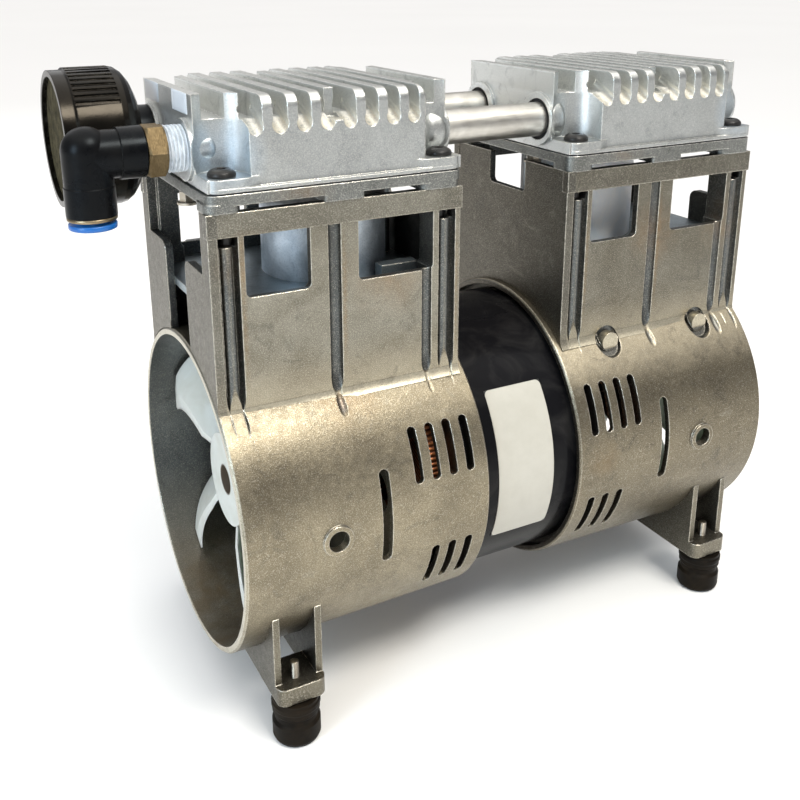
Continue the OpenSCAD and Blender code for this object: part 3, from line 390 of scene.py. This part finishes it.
def tower_tints(g, color, cloud, coarse):
    """Painted shade in the grooves, on the inner walls, the outer corners and the right tower,
    painted light on the flare, a golden tone with painted reflection low down, and brown lines
    beside grooves.
    """
    x, out_x = g.machine_x(), g.from_middle()
    _, y, z = g.parts()
    off_y = g.math("ABSOLUTE", y)
    golden = g.clouded(cloud, *GOLDEN_TONE_AND_REFLECTION)
    height = g.math("ADD", z, g.times(cloud, 0.02))
    # Towards the bell the tower takes the golden tone and its painted reflection
    color = g.mix(g.ramp(height, 215, 185), color, golden)
    # Painted shade on the right tower
    color = g.mix(g.ramp(x, 3, 33, 0.0, 0.46), color, (0.070, 0.060, 0.042))
    color = g.mix(g.times(g.along(z, 264, 276), 0.30), color, (0.07, 0.068, 0.06))
    # Painted light on the concave flare where the tower meets the bell
    flare = g.times(g.ramp(g.from_shaft(), 102, 90),
                    g.ramp(off_y, TOWER_FACE + 0.1, TOWER_FACE + 0.4),
                    g.ramp(x, 3, 33, 0.62, 0.55))
    color = g.mix(flare, color, (0.82, 0.75, 0.58))
    # Painted shade on the outer corner posts
    corner = g.math("ADD", g.along(x, -167, -160.4), g.along(x, 32, 38))
    color = g.mix(g.times(corner, 0.5), color, (0.06, 0.06, 0.058))
    front = g.ramp(y, 0.4 - TOWER_FACE, 0.1 - TOWER_FACE)
    for line_x in (-149.4, -98.2, -35.4, 48.4, 99.8):
        line = g.times(g.along(x, line_x - 0.9, line_x + 0.9, 1.0), front,
                       g.along(z, 196, 252, 12), g.fit(coarse, 0.40, 0.62, 0.35, 1.0), 0.6)
        color = g.mix(line, color, (0.27, 0.17, 0.08))
    # Painted shade, bluish, on surfaces set back from the tower's faces
    recess_shade = g.times(g.ramp(off_y, TOWER_FACE, TOWER_FACE - 0.3), g.along(out_x, 33.9, 164.6, 0.2),
                   g.ramp(z, TOWER_TOP + 0.3, TOWER_TOP - 0.3), 0.88)
    blue = g.clouded(cloud, (0.070, 0.078, 0.083), (0.13, 0.145, 0.152))
    return end_shade(g, g.mix(recess_shade, color, blue))


def leg_tints(g, color, cloud, coarse):
    """Painted shade on the sides and upper faces, with only the front edges of the webs left pale.
    """
    color = g.mix(g.end_faces(most=0.5), color, SHADED_CASTING)
    return g.mix(g.fit(g.facing()[2], 0.7, 0.95, 0.0, 0.5), color, SHADED_CASTING)


def head_tints(g, color, cloud, coarse):
    """Painted light on the ends, fin tops and valley walls, rubbed wear with a painted highlight
    on the valley mouths, and a painted blue reflection in the corner pockets.
    """
    _, y, z = g.parts()
    _, ny, nz = g.facing()
    # Painted light on the faces that look along the shaft
    color = g.mix(g.end_faces(0.7, 0.9), color, (0.95, 0.97, 0.96))
    # Painted light on the fin tops
    tops = g.times(g.fit(nz, 0.8, 0.95), g.ramp(z, 319, 321), 0.8)
    color = g.mix(tops, color, (0.62, 0.62, 0.59))
    # Painted light on the valley walls, against their shade
    walls = g.times(g.ramp(z, 313, 315), g.ramp(z, 325.5, 325.0),
                    g.fit(g.math("ABSOLUTE", ny), 0.95, 0.6), 0.9)
    color = g.mix(walls, color, (0.80, 0.81, 0.78))
    # Rubbed wear with a painted highlight on the upward slopes of the valley mouths
    band = g.times(g.ramp(z, 305.5, 308), g.ramp(z, 319.5, 315.5))
    side = g.ramp(g.math("ABSOLUTE", y), 40, 50)
    worn = g.times(band, side, g.fit(nz, 0.15, 0.45), g.fit(coarse, 0.70, 0.50, 0.35, 1.0))
    color = g.mix(worn, color, (0.90, 0.85, 0.73))
    # Painted blue reflection in the corner pockets
    for head in (-1, 1):
        blue = g.spot((head * (HEAD_OUTER - 11), -50, PORT_Z), 20, 0.8)
        color = g.mix(g.times(blue, 0.7), color, (0.52, 0.66, 0.80))
    return color


def bell_casting():
    stains = [((46.7, -86, 116), 13, BROWN, 0.5), ((-150, 20, 40), 46, BROWN, 0.75),
              ((-158, -30, 38), 30, BROWN, 0.6), ((-100, -58, 176), 22, RUST, 0.2)]
    return cast_metal("cast_bell", (0.195, 0.182, 0.145), PALE_CASTING, *WARM_GRIME_SHADE_AND_EDGE,
                      stains, reach=34, dress=bell_tints)


def tower_casting():
    stains = [((-146, -58, 250), 18, RUST, 0.35), ((-74, -58, 236), 26, RUST, 0.25),
              ((97, -58, 234), 22, RUST, 0.25), ((148, -58, 236), 20, RUST, 0.25)]
    return cast_metal("cast_housing", (0.185, 0.170, 0.132), PALE_CASTING, *WARM_GRIME_SHADE_AND_EDGE,
                      stains, reach=34, dress=tower_tints, calm_radius=91)


# A darker copy of the casting for the legs: painted shade under the bells
def leg_casting():
    return cast_metal("cast_leg", (0.135, 0.120, 0.088), (0.215, 0.195, 0.150),
                      *WARM_GRIME_SHADE_AND_EDGE, reach=20, dress=leg_tints)


# Bluish and paler than the housing: painted light and a painted blue reflection on the block in
# its shaded chamber
def deck_casting():
    return cast_metal("cast_deck", (0.30, 0.36, 0.40), (0.42, 0.49, 0.53),
                      *WARM_GRIME_SHADE_AND_EDGE, reach=14)


def head_casting():
    return cast_metal("cast_head", (0.36, 0.37, 0.365), (0.45, 0.465, 0.46),
                      (0.17, 0.185, 0.19), (0.76, 0.75, 0.70), reach=4, dress=head_tints,
                      grime_and_shade_share=0.5)


def plate_casting():
    return cast_metal("cast_plate", (0.150, 0.155, 0.145), (0.210, 0.217, 0.207),
                      (0.05, 0.05, 0.045), (0.80, 0.78, 0.72),
                      [((-120, -59, 279), 18, PLATE_RUST, 0.3),
                       ((70, -59, 279), 14, PLATE_RUST, 0.3)])


def black_paint():
    g = Graph("black_paint", color=(0.004, 0.004, 0.004), roughness=0.16,
              Specular_IOR_Level=0.075)
    rounded = g.round_edges(0.6)
    orange = g.noise(380, 2, 0.5)
    haze = g.noise(35, 4, 0.62, 1.0)
    scratch = g.noise(700, 2, 0.5, 0.0, g.stretched(1, 12, 1))
    base = g.mix(g.fit(haze, 0.45, 0.75, 0.0, 0.6), BLACK_GLOSS, (0.030, 0.029, 0.028))
    # Painted shade on the lower part of the shell
    g.set("Base Color", g.mix(g.ramp(g.parts()[2], 85, 45, 0.0, 0.8), base,
                              (0.006, 0.005, 0.004)))
    g.set("Roughness", g.math("ADD", g.fit(haze, 0.3, 0.7, 0.12, 0.26),
                              g.fit(scratch, 0.66, 0.74, 0.0, 0.12)))
    g.set("Normal", g.bump(orange, 0.10, 0.10, rounded))
    return g.mat


def label_film(name, color, dull, worn, on_shell=False):
    """Bare film. On the motor's shell the corners of its sheet are cut round."""
    g = Graph(name, roughness=0.34, Coat_Weight=0.2, Coat_Roughness=0.2)
    wear = g.noise(120, 4, 0.6)
    rim = g.ramp(g.math("ADD", g.from_middle(), g.times(wear, 0.0015)), 19.5, 21.5)
    base = g.mix(g.fit(wear, 0.4, 0.75, 0.0, 0.35), color, dull)
    base = g.mix(g.times(rim, 0.35), base, worn)
    if on_shell:
        # Beyond the arc of each corner the film is cut away and the black paint shows
        y, up = g.beside_shaft()
        angle = g.math("ARCTAN2", up, g.times(y, -1.0))
        off_arc = g.math("ABSOLUTE", g.math("SUBTRACT", angle, LABEL_ARC))
        off_x = g.math("ABSOLUTE", g.math("SUBTRACT", g.machine_x(), LABEL_X / 1000))
        past_x = (LABEL_HALF_X - LABEL_CORNER) / 1000
        past_arc = (LABEL_HALF_ARC * SHELL_R - LABEL_CORNER) / 1000
        over_x = g.math("MAXIMUM", g.math("SUBTRACT", off_x, past_x), 0.0)
        over_arc = g.math("MAXIMUM", g.math("SUBTRACT", g.times(off_arc, SHELL_R / 1000),
                                            past_arc), 0.0)
        away = g.distance(over_x, over_arc)
        base = g.mix(g.ramp(away, LABEL_CORNER - 0.1, LABEL_CORNER + 0.1), base, BLACK_GLOSS)
    g.set("Base Color", base)
    crease = g.noise(55, 3, 0.5, 1.2)
    g.set("Normal", g.bump(crease, 0.18, 0.35, g.round_edges(0.25)))
    return g.mat


def natural_plastic():
    g = Graph("fan_plastic", color=(0.78, 0.81, 0.78), roughness=0.38, Subsurface_Weight=0.35,
              Subsurface_Radius=(0.006, 0.007, 0.006), Subsurface_Scale=1.0)
    cloud = g.noise(45, 3, 0.6, 0.5)
    rounded = g.round_edges(0.8)
    edge = g.edge(rounded)
    base = g.mix(g.fit(cloud, 0.35, 0.7), (0.58, 0.61, 0.58), (0.50, 0.51, 0.46))
    base = g.mix(g.times(edge, 0.3), base, (0.72, 0.72, 0.66))
    dust = g.times(g.fit(g.hollow(12), 0.7, 0.2), g.fit(g.noise(160, 3), 0.4, 0.7))
    base = g.mix(g.times(dust, 0.6), base, (0.42, 0.37, 0.29))
    # Dark brown in the bore: painted shade in the hole round the shaft
    bore = g.ramp(g.from_shaft(), 9.0, 8.3)
    g.set("Base Color", g.mix(bore, base, (0.12, 0.095, 0.07)))
    g.set("Subsurface Weight", g.fit(bore, 0.0, 1.0, 0.35, 0.0))
    g.set("Roughness", g.fit(cloud, 0.3, 0.7, 0.30, 0.48))
    g.set("Normal", g.bump(g.noise(500, 2, 0.5), 0.10, 0.10, rounded))
    return g.mat


def pressed_felt():
    g = Graph("felt", color=(0.1, 0.09, 0.05), roughness=0.95, Specular_IOR_Level=0.1)
    fibre = g.noise(1300, 5, 0.7, 2.5)
    clump = g.noise(170, 4, 0.65, 0.8)
    base = g.mix(g.fit(clump, 0.34, 0.66), (0.022, 0.019, 0.011), (0.085, 0.072, 0.040))
    base = g.mix(g.fit(fibre, 0.52, 0.72, 0.0, 0.6), base, (0.15, 0.13, 0.075))
    g.set("Base Color", base)
    g.set("Normal", g.bump(fibre, 0.9, 0.5, g.bump(clump, 0.7, 1.2)))
    return g.mat


def rubber(name, color, light, rough=0.62):
    g = Graph(name, color=color, roughness=rough, Specular_IOR_Level=0.08)
    bloom = g.noise(85, 4, 0.62, 0.6)
    fine = g.noise(1100, 2, 0.6)
    rounded = g.round_edges(0.6)
    edge = g.edge(rounded)
    base = g.mix(g.fit(bloom, 0.42, 0.75, 0.0, 0.7), color, light)
    g.set("Base Color", g.mix(g.times(edge, 0.35), base, light))
    g.set("Roughness", g.fit(bloom, 0.3, 0.7, rough * 0.85, rough * 1.2))
    g.set("Normal", g.bump(fine, 0.3, 0.12, rounded))
    return g.mat


def copper_wire():
    g = Graph("enamelled_wire", color=(0.28, 0.09, 0.03), metallic=0.6, roughness=0.35)
    wave = g.node("TexWave", {"Vector": g.place, "Scale": 160.0, "Distortion": 1.5, "Detail": 2.0},
                  wave_type="RINGS", rings_direction="X").outputs["Fac"]
    g.set("Base Color", g.mix(wave, (0.10, 0.030, 0.012), (0.42, 0.15, 0.05)))
    g.set("Normal", g.bump(wave, 0.8, 0.7))
    return g.mat


def laminated():
    g = Graph("lamination", color=(0.2, 0.2, 0.2), metallic=0.9, roughness=0.5)
    wave = g.node("TexWave", {"Vector": g.place, "Scale": 320.0, "Distortion": 0.2},
                  wave_type="BANDS", bands_direction="X").outputs["Fac"]
    rust = g.noise(60, 4, 0.6)
    base = g.mix(wave, (0.10, 0.10, 0.11), (0.30, 0.31, 0.33))
    g.set("Base Color", g.mix(g.fit(rust, 0.55, 0.75, 0.0, 0.5), base, (0.22, 0.11, 0.05)))
    g.set("Normal", g.bump(wave, 0.4, 0.2))
    return g.mat


def thread_tape():
    g = Graph("thread_tape", color=(0.85, 0.86, 0.86), roughness=0.45, Subsurface_Weight=0.1,
              Subsurface_Radius=(0.001, 0.001, 0.001), Subsurface_Scale=1.0)
    fold = g.noise(420, 4, 0.6, 1.0, g.stretched(1, 0.35, 0.35))
    base = g.mix(g.fit(fold, 0.35, 0.65), (0.40, 0.45, 0.50), (0.62, 0.66, 0.70))
    # Painted shade in the hollows of the thread
    g.set("Base Color", g.mix(g.fit(g.hollow(3), 0.75, 0.25, 0.0, 0.7), base,
                              (0.16, 0.19, 0.23)))
    g.set("Normal", g.bump(fold, 0.9, 0.5))
    return g.mat


# One look for each material slot of the record
MATERIALS = {
    "cast_housing": tower_casting(),
    "cast_head": head_casting(),
    "black_paint": black_paint(),
    "label": label_film("label", (0.47, 0.455, 0.40), (0.38, 0.36, 0.31), (0.26, 0.24, 0.20),
                        on_shell=True),
    "lamination": laminated(),
    "enamelled_wire": copper_wire(),
    "plated_steel": turned_metal("plated_steel", (0.62, 0.58, 0.50), (0.36, 0.31, 0.24), 0.30),
    "bearing_steel": turned_metal("bearing_steel", (0.50, 0.45, 0.40), (0.26, 0.19, 0.14), 0.34),
    "cast_iron": cast_metal("cast_iron", (0.20, 0.20, 0.20), (0.30, 0.30, 0.29),
                            (0.07, 0.06, 0.05), (0.50, 0.48, 0.45)),
    "bright_aluminium": turned_metal("bright_aluminium", (0.86, 0.93, 1.0), (0.50, 0.57, 0.63),
                                     0.52, (1, 1, 1), 900, shaded_above=263),
    "satin_tube": turned_metal("satin_tube", (0.62, 0.605, 0.56), (0.46, 0.44, 0.40), 0.36,
                               (0.06, 1, 1), 1500),
    "spring_steel": turned_metal("spring_steel", (0.66, 0.68, 0.70), (0.40, 0.42, 0.45), 0.2),
    "gasket": rubber("gasket", (0.030, 0.030, 0.032), (0.10, 0.10, 0.10), 0.8),
    "black_screw": moulded("black_screw", (0.006, 0.006, 0.006), (0.05, 0.045, 0.04), 0.30,
                           shine=0.35),
    "seal_rubber": rubber("seal_rubber", (0.012, 0.012, 0.012), (0.05, 0.05, 0.05), 0.5),
    "brass": turned_metal("brass", (0.20, 0.148, 0.080), (0.11, 0.078, 0.040), 0.58, (8, 1, 1),
                          700, (0.36, 0.30, 0.20)),
    # Reflections tinted blue: painted reflection of a window
    "black_plastic": moulded("black_plastic", (0.0022, 0.0024, 0.003), (0.010, 0.009, 0.008),
                             0.26, shine=0.10, reflection_tint=(0.82, 0.92, 1.0)),
    "felt": pressed_felt(),
    "foot_rubber": rubber("foot_rubber", (0.006, 0.0045, 0.003), (0.024, 0.017, 0.010), 0.50),
    "fan_plastic": natural_plastic(),
    "cup_plastic": moulded("cup_plastic", (0.26, 0.20, 0.12), (0.40, 0.33, 0.22), 0.5),
    "blue_plastic": moulded("blue_plastic", (0.002, 0.095, 0.36), (0.01, 0.17, 0.52), 0.30,
                            coat=0.2),
}

# Looks of pieces that differ from the rest of their slot, or that only this script has
PLATE = plate_casting()
BELL = bell_casting()
LIT_BLUE_DECK = deck_casting()
SHADED_LEG = leg_casting()
# Reflections tinted warm brown: painted reflection of warm surroundings
MUFFLER = moulded("muffler_plastic", (0.0016, 0.0015, 0.0013), (0.006, 0.005, 0.004), 0.17,
                  shine=0.22, reflection_tint=(1.0, 0.88, 0.72))
SHAFT = turned_metal("shaft_steel", (0.15, 0.115, 0.085), (0.07, 0.05, 0.036), 0.42, (8, 1, 1),
                     700, (0.30, 0.26, 0.20))
# A brighter, less metallic copy of the sleeve metal: painted light on the right sleeve, which sits
# in shade
LIT_SLEEVE = turned_metal("lit_sleeve", (1.0, 1.0, 1.0), (0.86, 0.92, 0.98), 0.60, (1, 1, 1),
                           900, metallic=0.15)
BRONZE = turned_metal("bronze_ring", (0.34, 0.27, 0.17), (0.16, 0.12, 0.07), 0.34, (1, 1, 6), 500)
STICKER = label_film("sticker_film", (0.78, 0.82, 0.86), (0.66, 0.70, 0.75), (0.66, 0.70, 0.75))
TAPE = thread_tape()

SLOT_OF = {s["node"]: s["material_slot"] for s in frame["record"]["subparts"]}
OWN_LOOK = {
    "valve_plate_left": PLATE, "valve_plate_right": PLATE, "muffler_body": MUFFLER,
    "housing_left": BELL, "housing_right": BELL, "deck_left": LIT_BLUE_DECK, "deck_right": LIT_BLUE_DECK,
    "cylinder_sleeve_right": LIT_SLEEVE, "motor_shaft": SHAFT, "legs_left": SHADED_LEG,
    "legs_right": SHADED_LEG,
}
for name, obj in nodes.items():
    obj.data.materials.clear()
    obj.data.materials.append(OWN_LOOK.get(name) or MATERIALS[SLOT_OF[name]])


# Mesh makers

def new_object(name, verts, faces, material, smooth=True):
    mesh = bpy.data.meshes.new(name)
    mesh.from_pydata([tuple(v) for v in verts], [], faces)
    mesh.validate()
    if smooth:
        mesh.shade_smooth()
    obj = bpy.data.objects.new(name, mesh)
    bpy.context.scene.collection.objects.link(obj)
    mesh.materials.append(material)
    return obj


def ring_faces(rings, around):
    """Quads between rings of points that follow each other, with as many points in each."""
    faces = []
    for i in range(rings - 1):
        for k in range(around):
            n = (k + 1) % around
            faces.append((i * around + k, i * around + n,
                          (i + 1) * around + n, (i + 1) * around + k))
    return faces


def threaded_rod(name, put, low, high, r, pitch, material, core=0.86, around=36, worn=0.0):
    """Screw with one helical ridge and a small chamfer at its high end; put(c, s, d) places a
    point by its two distances from the axis and its distance along it. core is the thread's
    root as a share of r, and worn is the depth of dents in a tape wound on it."""
    per_turn = 10
    rows = int((high - low) / pitch * per_turn)
    verts = []
    for row in range(rows + 1):
        d = low + (high - low) * row / rows
        fade = 1.0 if worn else min(1.0, (high - d) / (0.7 * pitch) + 0.55)
        for k in range(around):
            phase = ((d - low) / pitch - k / around) % 1.0
            ridge = 1 - abs(2 * phase - 1)
            ridge = min(1.0, max(0.0, (ridge - 0.1) * 1.3))
            rr = (r * core + r * (1 - core) * ridge) * fade
            a = 2 * math.pi * k / around
            rr += worn * math.sin(5 * a + 2.3 * d) * math.sin(3 * a - 1.1 * d)
            verts.append(put(rr * math.cos(a), rr * math.sin(a), d))
    faces = ring_faces(rows + 1, around)
    faces.append(tuple(reversed(range(around))))
    faces.append(tuple(rows * around + k for k in range(around)))
    return new_object(name, verts, faces, material)


def join(name, objs):
    """One object out of several, each with one material."""
    mesh = bpy.data.meshes.new(name)
    verts, faces, mats, marks = [], [], [], []
    for o in objs:
        start = len(verts)
        verts += [v.co.copy() for v in o.data.vertices]
        if o.data.materials[0] not in mats:
            mats.append(o.data.materials[0])
        for p in o.data.polygons:
            faces.append([start + i for i in p.vertices])
            marks.append((mats.index(o.data.materials[0]), p.use_smooth))
    mesh.from_pydata([tuple(v) for v in verts], [], faces)
    for m in mats:
        mesh.materials.append(m)
    for p, (slot, smooth) in zip(mesh.polygons, marks):
        p.material_index = slot
        p.use_smooth = smooth
    made = bpy.data.objects.new(name, mesh)
    bpy.context.scene.collection.objects.link(made)
    for o in objs:
        bpy.data.objects.remove(o)
    return made


def rounded_plate(name, origin, along, up, size, corner, thick, material):
    """Thin sheet with round corners, on a plane given by two directions."""
    out = along.cross(up).normalized()
    w, h = size[0] / 2 - corner, size[1] / 2 - corner
    outline = []
    for cx, cy, start in ((w, h, 0), (-w, h, 90), (-w, -h, 180), (w, -h, 270)):
        for k in range(7):
            a = math.radians(start + 15 * k)
            outline.append((cx + corner * math.cos(a), cy + corner * math.sin(a)))
    count = len(outline)
    rings = ((1.0, 0.0), (1.0, thick * 0.7), (0.985, thick), (0.6, thick), (0.2, thick))
    verts = [origin + (along * px * scale + up * py * scale + out * lift) / 1000
             for scale, lift in rings for px, py in outline]
    faces = ring_faces(len(rings), count)
    faces.append(tuple((len(rings) - 1) * count + k for k in range(count)))
    faces.append(tuple(reversed(range(count))))
    return new_object(name, verts, faces, material)


def lathe(name, profile, centre, axis, material, around):
    """Surface of revolution about X or Z through a point. profile is (radius, distance) pairs,
    with the distance along the axis from that point."""
    verts = []
    for radius, distance in profile:
        for k in range(around):
            a = 2 * math.pi * k / around
            c, s = radius * math.cos(a), radius * math.sin(a)
            if axis == "X":
                verts.append(at(centre[0] + distance, centre[1] + c, centre[2] + s))
            else:
                verts.append(at(centre[0] + c, centre[1] + s, centre[2] + distance))
    return new_object(name, verts, ring_faces(len(profile), around), material)


# Threaded studs in the feet
studs = [threaded_rod("stud", lambda c, s, d, x=x, y=y: at(x + c, y + s, d), low=10.0, high=44.5,
                      r=2.45, pitch=1.0, material=MATERIALS["plated_steel"])
         for x in (-FOOT_X, FOOT_X) for y in (-FOOT_Y, FOOT_Y)]
foot_threads = join("foot_stud_threads", studs)
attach(foot_threads, "frame")
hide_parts("foot_studs")


# Brass stud in the front port: bored core, hexagon with chamfered corners, and its thread under
# white tape

def hexagon(name, x0, x1, across, bore, material, chamfer=1.1, around=96):
    """Hexagonal prism along X, its corners turned off at both ends, with a bore through it."""
    def radius(a, limit):
        return min(across / 2 / math.cos((a + math.pi / 6) % (math.pi / 3) - math.pi / 6), limit)

    angles = [2 * math.pi * k / around for k in range(around)]
    flat, full = across / 2 + 0.15, across
    # Places along X, each with the radius that its corners are turned off to, or None at the bore
    rings = ((x0, None), (x0, flat), (x0 + chamfer, full), (x1 - chamfer, full), (x1, flat),
             (x1, None))
    verts, faces = [], []
    for d, limit in rings:
        for a in angles:
            rr = bore if limit is None else radius(a, limit)
            verts.append(at(d, -PORT_Y + rr * math.sin(a), STUD_Z + rr * math.cos(a)))
    count = len(rings)
    for i in range(count):
        j = (i + 1) % count
        for k in range(around):
            n = (k + 1) % around
            faces.append((i * around + n, i * around + k, j * around + k, j * around + n))
    return new_object(name, verts, faces, material, smooth=False)


def on_stud(c, s, d):
    return at(d, -PORT_Y + c, STUD_Z + s)


HEX_X = (-183.5, -174.6)
stud_axis = (0, -PORT_Y, STUD_Z)
stud_core = lathe("stud_core", [(4.5, -193.5), (7.2, -193.5), (7.5, -193.2), (7.5, -183.6),
                                (8.3, -183.4), (8.3, -155.8), (8.1, -155.5), (4.5, -155.5),
                                (4.5, -193.5)],
                  stud_axis, "X", MATERIALS["brass"], 60)
stud_hex = hexagon("stud_hexagon", *HEX_X, across=22.2, bore=8.0, material=MATERIALS["brass"])
brass_stud = join("brass_stud", [stud_core, stud_hex])
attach(brass_stud, "frame")
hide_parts("intake_stud")

tape = threaded_rod("thread_tape_wrap", on_stud, low=HEX_X[1] - 0.2, high=-165.3, r=10.9,
                    pitch=1.81, material=TAPE, core=0.925, around=72, worn=0.10)
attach(tape, "frame")

# Thin metal ring in the elbow's mouth, and the collar that is pushed in to free the tube
mouth_axis = (ELBOW_X, -PORT_Y, 0)
mouth_ring = lathe("elbow_mouth_ring", [(8.65, 273.0), (10.8, 273.0), (11.05, 273.25),
                                        (11.05, 274.8), (8.65, 274.8), (8.65, 273.0)],
                   mouth_axis, "Z", BRONZE, 96)
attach(mouth_ring, "elbow")
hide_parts("elbow_ring")
push_collar = lathe("push_collar", [(6.9, 268.9), (10.1, 268.9), (10.5, 269.1), (10.65, 269.5),
                                    (10.65, 271.0), (10.4, 271.4), (8.0, 271.4), (8.0, 286.8),
                                    (6.4, 286.8), (6.4, 269.4), (6.9, 268.9)],
                    mouth_axis, "Z", MATERIALS["blue_plastic"], 96)
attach(push_collar, "collar")
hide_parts("release_collar")

# Two bare stickers on the outer end of the left head
stickers = [rounded_plate("sticker", at(-HEAD_OUTER, y, 321.2), Vector((0, -1, 0)),
                          Vector((0, 0, 1)), size=(width, 9.5), corner=0.8, thick=0.16,
                          material=STICKER)
            for y, width in ((-22, 24), (26, 25))]
port_stickers = join("port_stickers", stickers)
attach(port_stickers, "frame")


# Cast walls of the ports and tube sockets where they swell into the corner pockets

def pocket_boss(name, outline, wall, y, z):
    """A third of a round shell about an axis along X at (y, z), on the side away from Y = 0.
    outline is (x, radius) pairs of its skin, wall is its thickness, and the mesh is closed."""
    side = 1 if y > 0 else -1
    sweep = [math.radians(-60 + 5 * i) for i in range(25)]
    verts = []
    for inset in (0.0, wall):
        for x, r in outline:
            verts += [at(x, y + side * (r - inset) * math.cos(a), z + (r - inset) * math.sin(a))
                      for a in sweep]
    rows, columns = len(outline), len(sweep)
    skin = rows * columns
    faces = []
    for i in range(rows - 1):
        for j in range(columns - 1):
            a, b = i * columns + j, (i + 1) * columns + j
            faces.append((a, a + 1, b + 1, b))
            faces.append((skin + a, skin + b, skin + b + 1, skin + a + 1))
    for j in range(columns - 1):
        last = (rows - 1) * columns + j
        faces.append((j, skin + j, skin + j + 1, j + 1))
        faces.append((last, last + 1, skin + last + 1, skin + last))
    for i in range(rows - 1):
        a, b = i * columns, (i + 1) * columns
        faces.append((a, b, skin + b, skin + a))
        a, b = a + columns - 1, b + columns - 1
        faces.append((a, skin + a, skin + b, b))
    if side * (outline[-1][0] - outline[0][0]) < 0:
        faces = [tuple(reversed(f)) for f in faces]
    return new_object(name, verts, faces, MATERIALS["cast_head"])


def boss_outline(start, bend, end, r):
    """Straight from start to bend, then a quarter ellipse that dives into the wall."""
    curve = [math.radians(10 * i) for i in range(8)]
    return [(start, r), ((start + bend) / 2, r)] + [
        (bend + (end - bend) * math.sin(a), r * math.cos(a)) for a in curve]


bosses = []
for row, port_z in ((-1, STUD_Z), (1, PORT_Z)):
    outline = boss_outline(start=-162, bend=-155.4, end=-149, r=9.2)
    bosses.append(pocket_boss("port_boss", outline, wall=0.6, y=row * PORT_Y, z=port_z))
    for head in (-1, 1):
        outline = boss_outline(start=head * 31.6, bend=head * 39.5, end=head * 46, r=12.2)
        bosses.append(pocket_boss("tube_boss", outline, wall=0.9, y=row * PORT_Y, z=PORT_Z))
port_bosses = join("port_bosses", bosses)
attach(port_bosses, "frame")


# Floor, lights and camera, all in metres

FLOOR_HALF = 40
floor_mesh = bpy.data.meshes.new("floor")
floor_mesh.from_pydata([(x * FLOOR_HALF, y * FLOOR_HALF, 0)
                        for x, y in ((-1, -1), (1, -1), (1, 1), (-1, 1))], [], [(0, 1, 2, 3)])
floor = bpy.data.objects.new("floor", floor_mesh)
bpy.context.scene.collection.objects.link(floor)
paper = Graph("floor_paper", roughness=0.9)
paper.set("Base Color", paper.mix(paper.fit(paper.noise(0.8, 1), 0.3, 0.7), (0.885, 0.885, 0.88),
                                  (0.90, 0.90, 0.895)))
floor_mesh.materials.append(paper.mat)


def soft_box(name, place, target, size, power, color=(1, 1, 1)):
    """Rectangular lamp that looks at a target, all in metres."""
    data = bpy.data.lights.new(name, "AREA")
    data.shape = "RECTANGLE"
    data.size, data.size_y = size
    data.energy = power
    data.color = color
    obj = bpy.data.objects.new(name, data)
    obj.location = Vector(place)
    obj.rotation_mode = "QUATERNION"
    obj.rotation_quaternion = (Vector(target) - Vector(place)).to_track_quat("-Z", "Y")
    bpy.context.scene.collection.objects.link(obj)


middle = (0.0, 0.0, 0.17)
soft_box("key_light", (0.15, -0.72, 1.30), (-0.1, 0.0, 0.17), (0.6, 0.4), 14, (1.0, 0.96, 0.88))
soft_box("window_light", (-1.45, -0.60, 0.68), middle, (0.5, 0.7), 13, (0.70, 0.86, 1.0))
soft_box("back_light", (-0.2, 1.9, 1.3), middle, (1.6, 0.9), 4)

bpy.context.scene.view_settings.view_transform = "Standard"

# A pale ceiling that is brightest overhead and fades to a dim horizon
world = bpy.data.worlds.new("studio")
bpy.context.scene.world = world
world.use_nodes = True
sky = world.node_tree
direction = sky.nodes.new("ShaderNodeTexCoord").outputs["Generated"]
split = sky.nodes.new("ShaderNodeSeparateXYZ")
sky.links.new(direction, split.inputs[0])
height = sky.nodes.new("ShaderNodeMapRange")
height.interpolation_type = "SMOOTHSTEP"
height.inputs["From Min"].default_value = 0.45
height.inputs["From Max"].default_value = 0.90
sky.links.new(split.outputs[2], height.inputs["Value"])
ceiling = sky.nodes.new("ShaderNodeMix")
ceiling.data_type = "RGBA"
ceiling.inputs[6].default_value = (0.30, 0.30, 0.31, 1)
ceiling.inputs[7].default_value = (1.75, 1.72, 1.68, 1)
sky.links.new(height.outputs[0], ceiling.inputs[0])
background = sky.nodes["Background"]
sky.links.new(ceiling.outputs[2], background.inputs["Color"])
background.inputs["Strength"].default_value = 1.0

# Camera fitted to the photograph; the focal length and the picture's width are in pixels
AZIMUTH = math.radians(-27.7)
ELEVATION = math.radians(17.62)
ROLL = math.radians(-0.25)
FOCAL_LENGTH = 983.61
PICTURE_WIDTH = 800
SENSOR_WIDTH = 36
back = Vector((math.sin(AZIMUTH) * math.cos(ELEVATION), -math.cos(AZIMUTH) * math.cos(ELEVATION),
               math.sin(ELEVATION)))
camera_data = bpy.data.cameras.new("camera")
camera_data.sensor_width = SENSOR_WIDTH
camera_data.lens = FOCAL_LENGTH / PICTURE_WIDTH * SENSOR_WIDTH
camera_data.shift_x = 0.0102
camera_data.shift_y = -0.1508
camera_data.clip_start = 0.02
camera_data.clip_end = 60
camera = bpy.data.objects.new("camera", camera_data)
camera.location = (-0.26126, -0.46809, 0.37922)
camera.rotation_mode = "QUATERNION"
camera.rotation_quaternion = ((-back).to_track_quat("-Z", "Y")
                              @ Matrix.Rotation(ROLL, 4, "Z").to_quaternion())
bpy.context.scene.collection.objects.link(camera)
bpy.context.scene.camera = camera
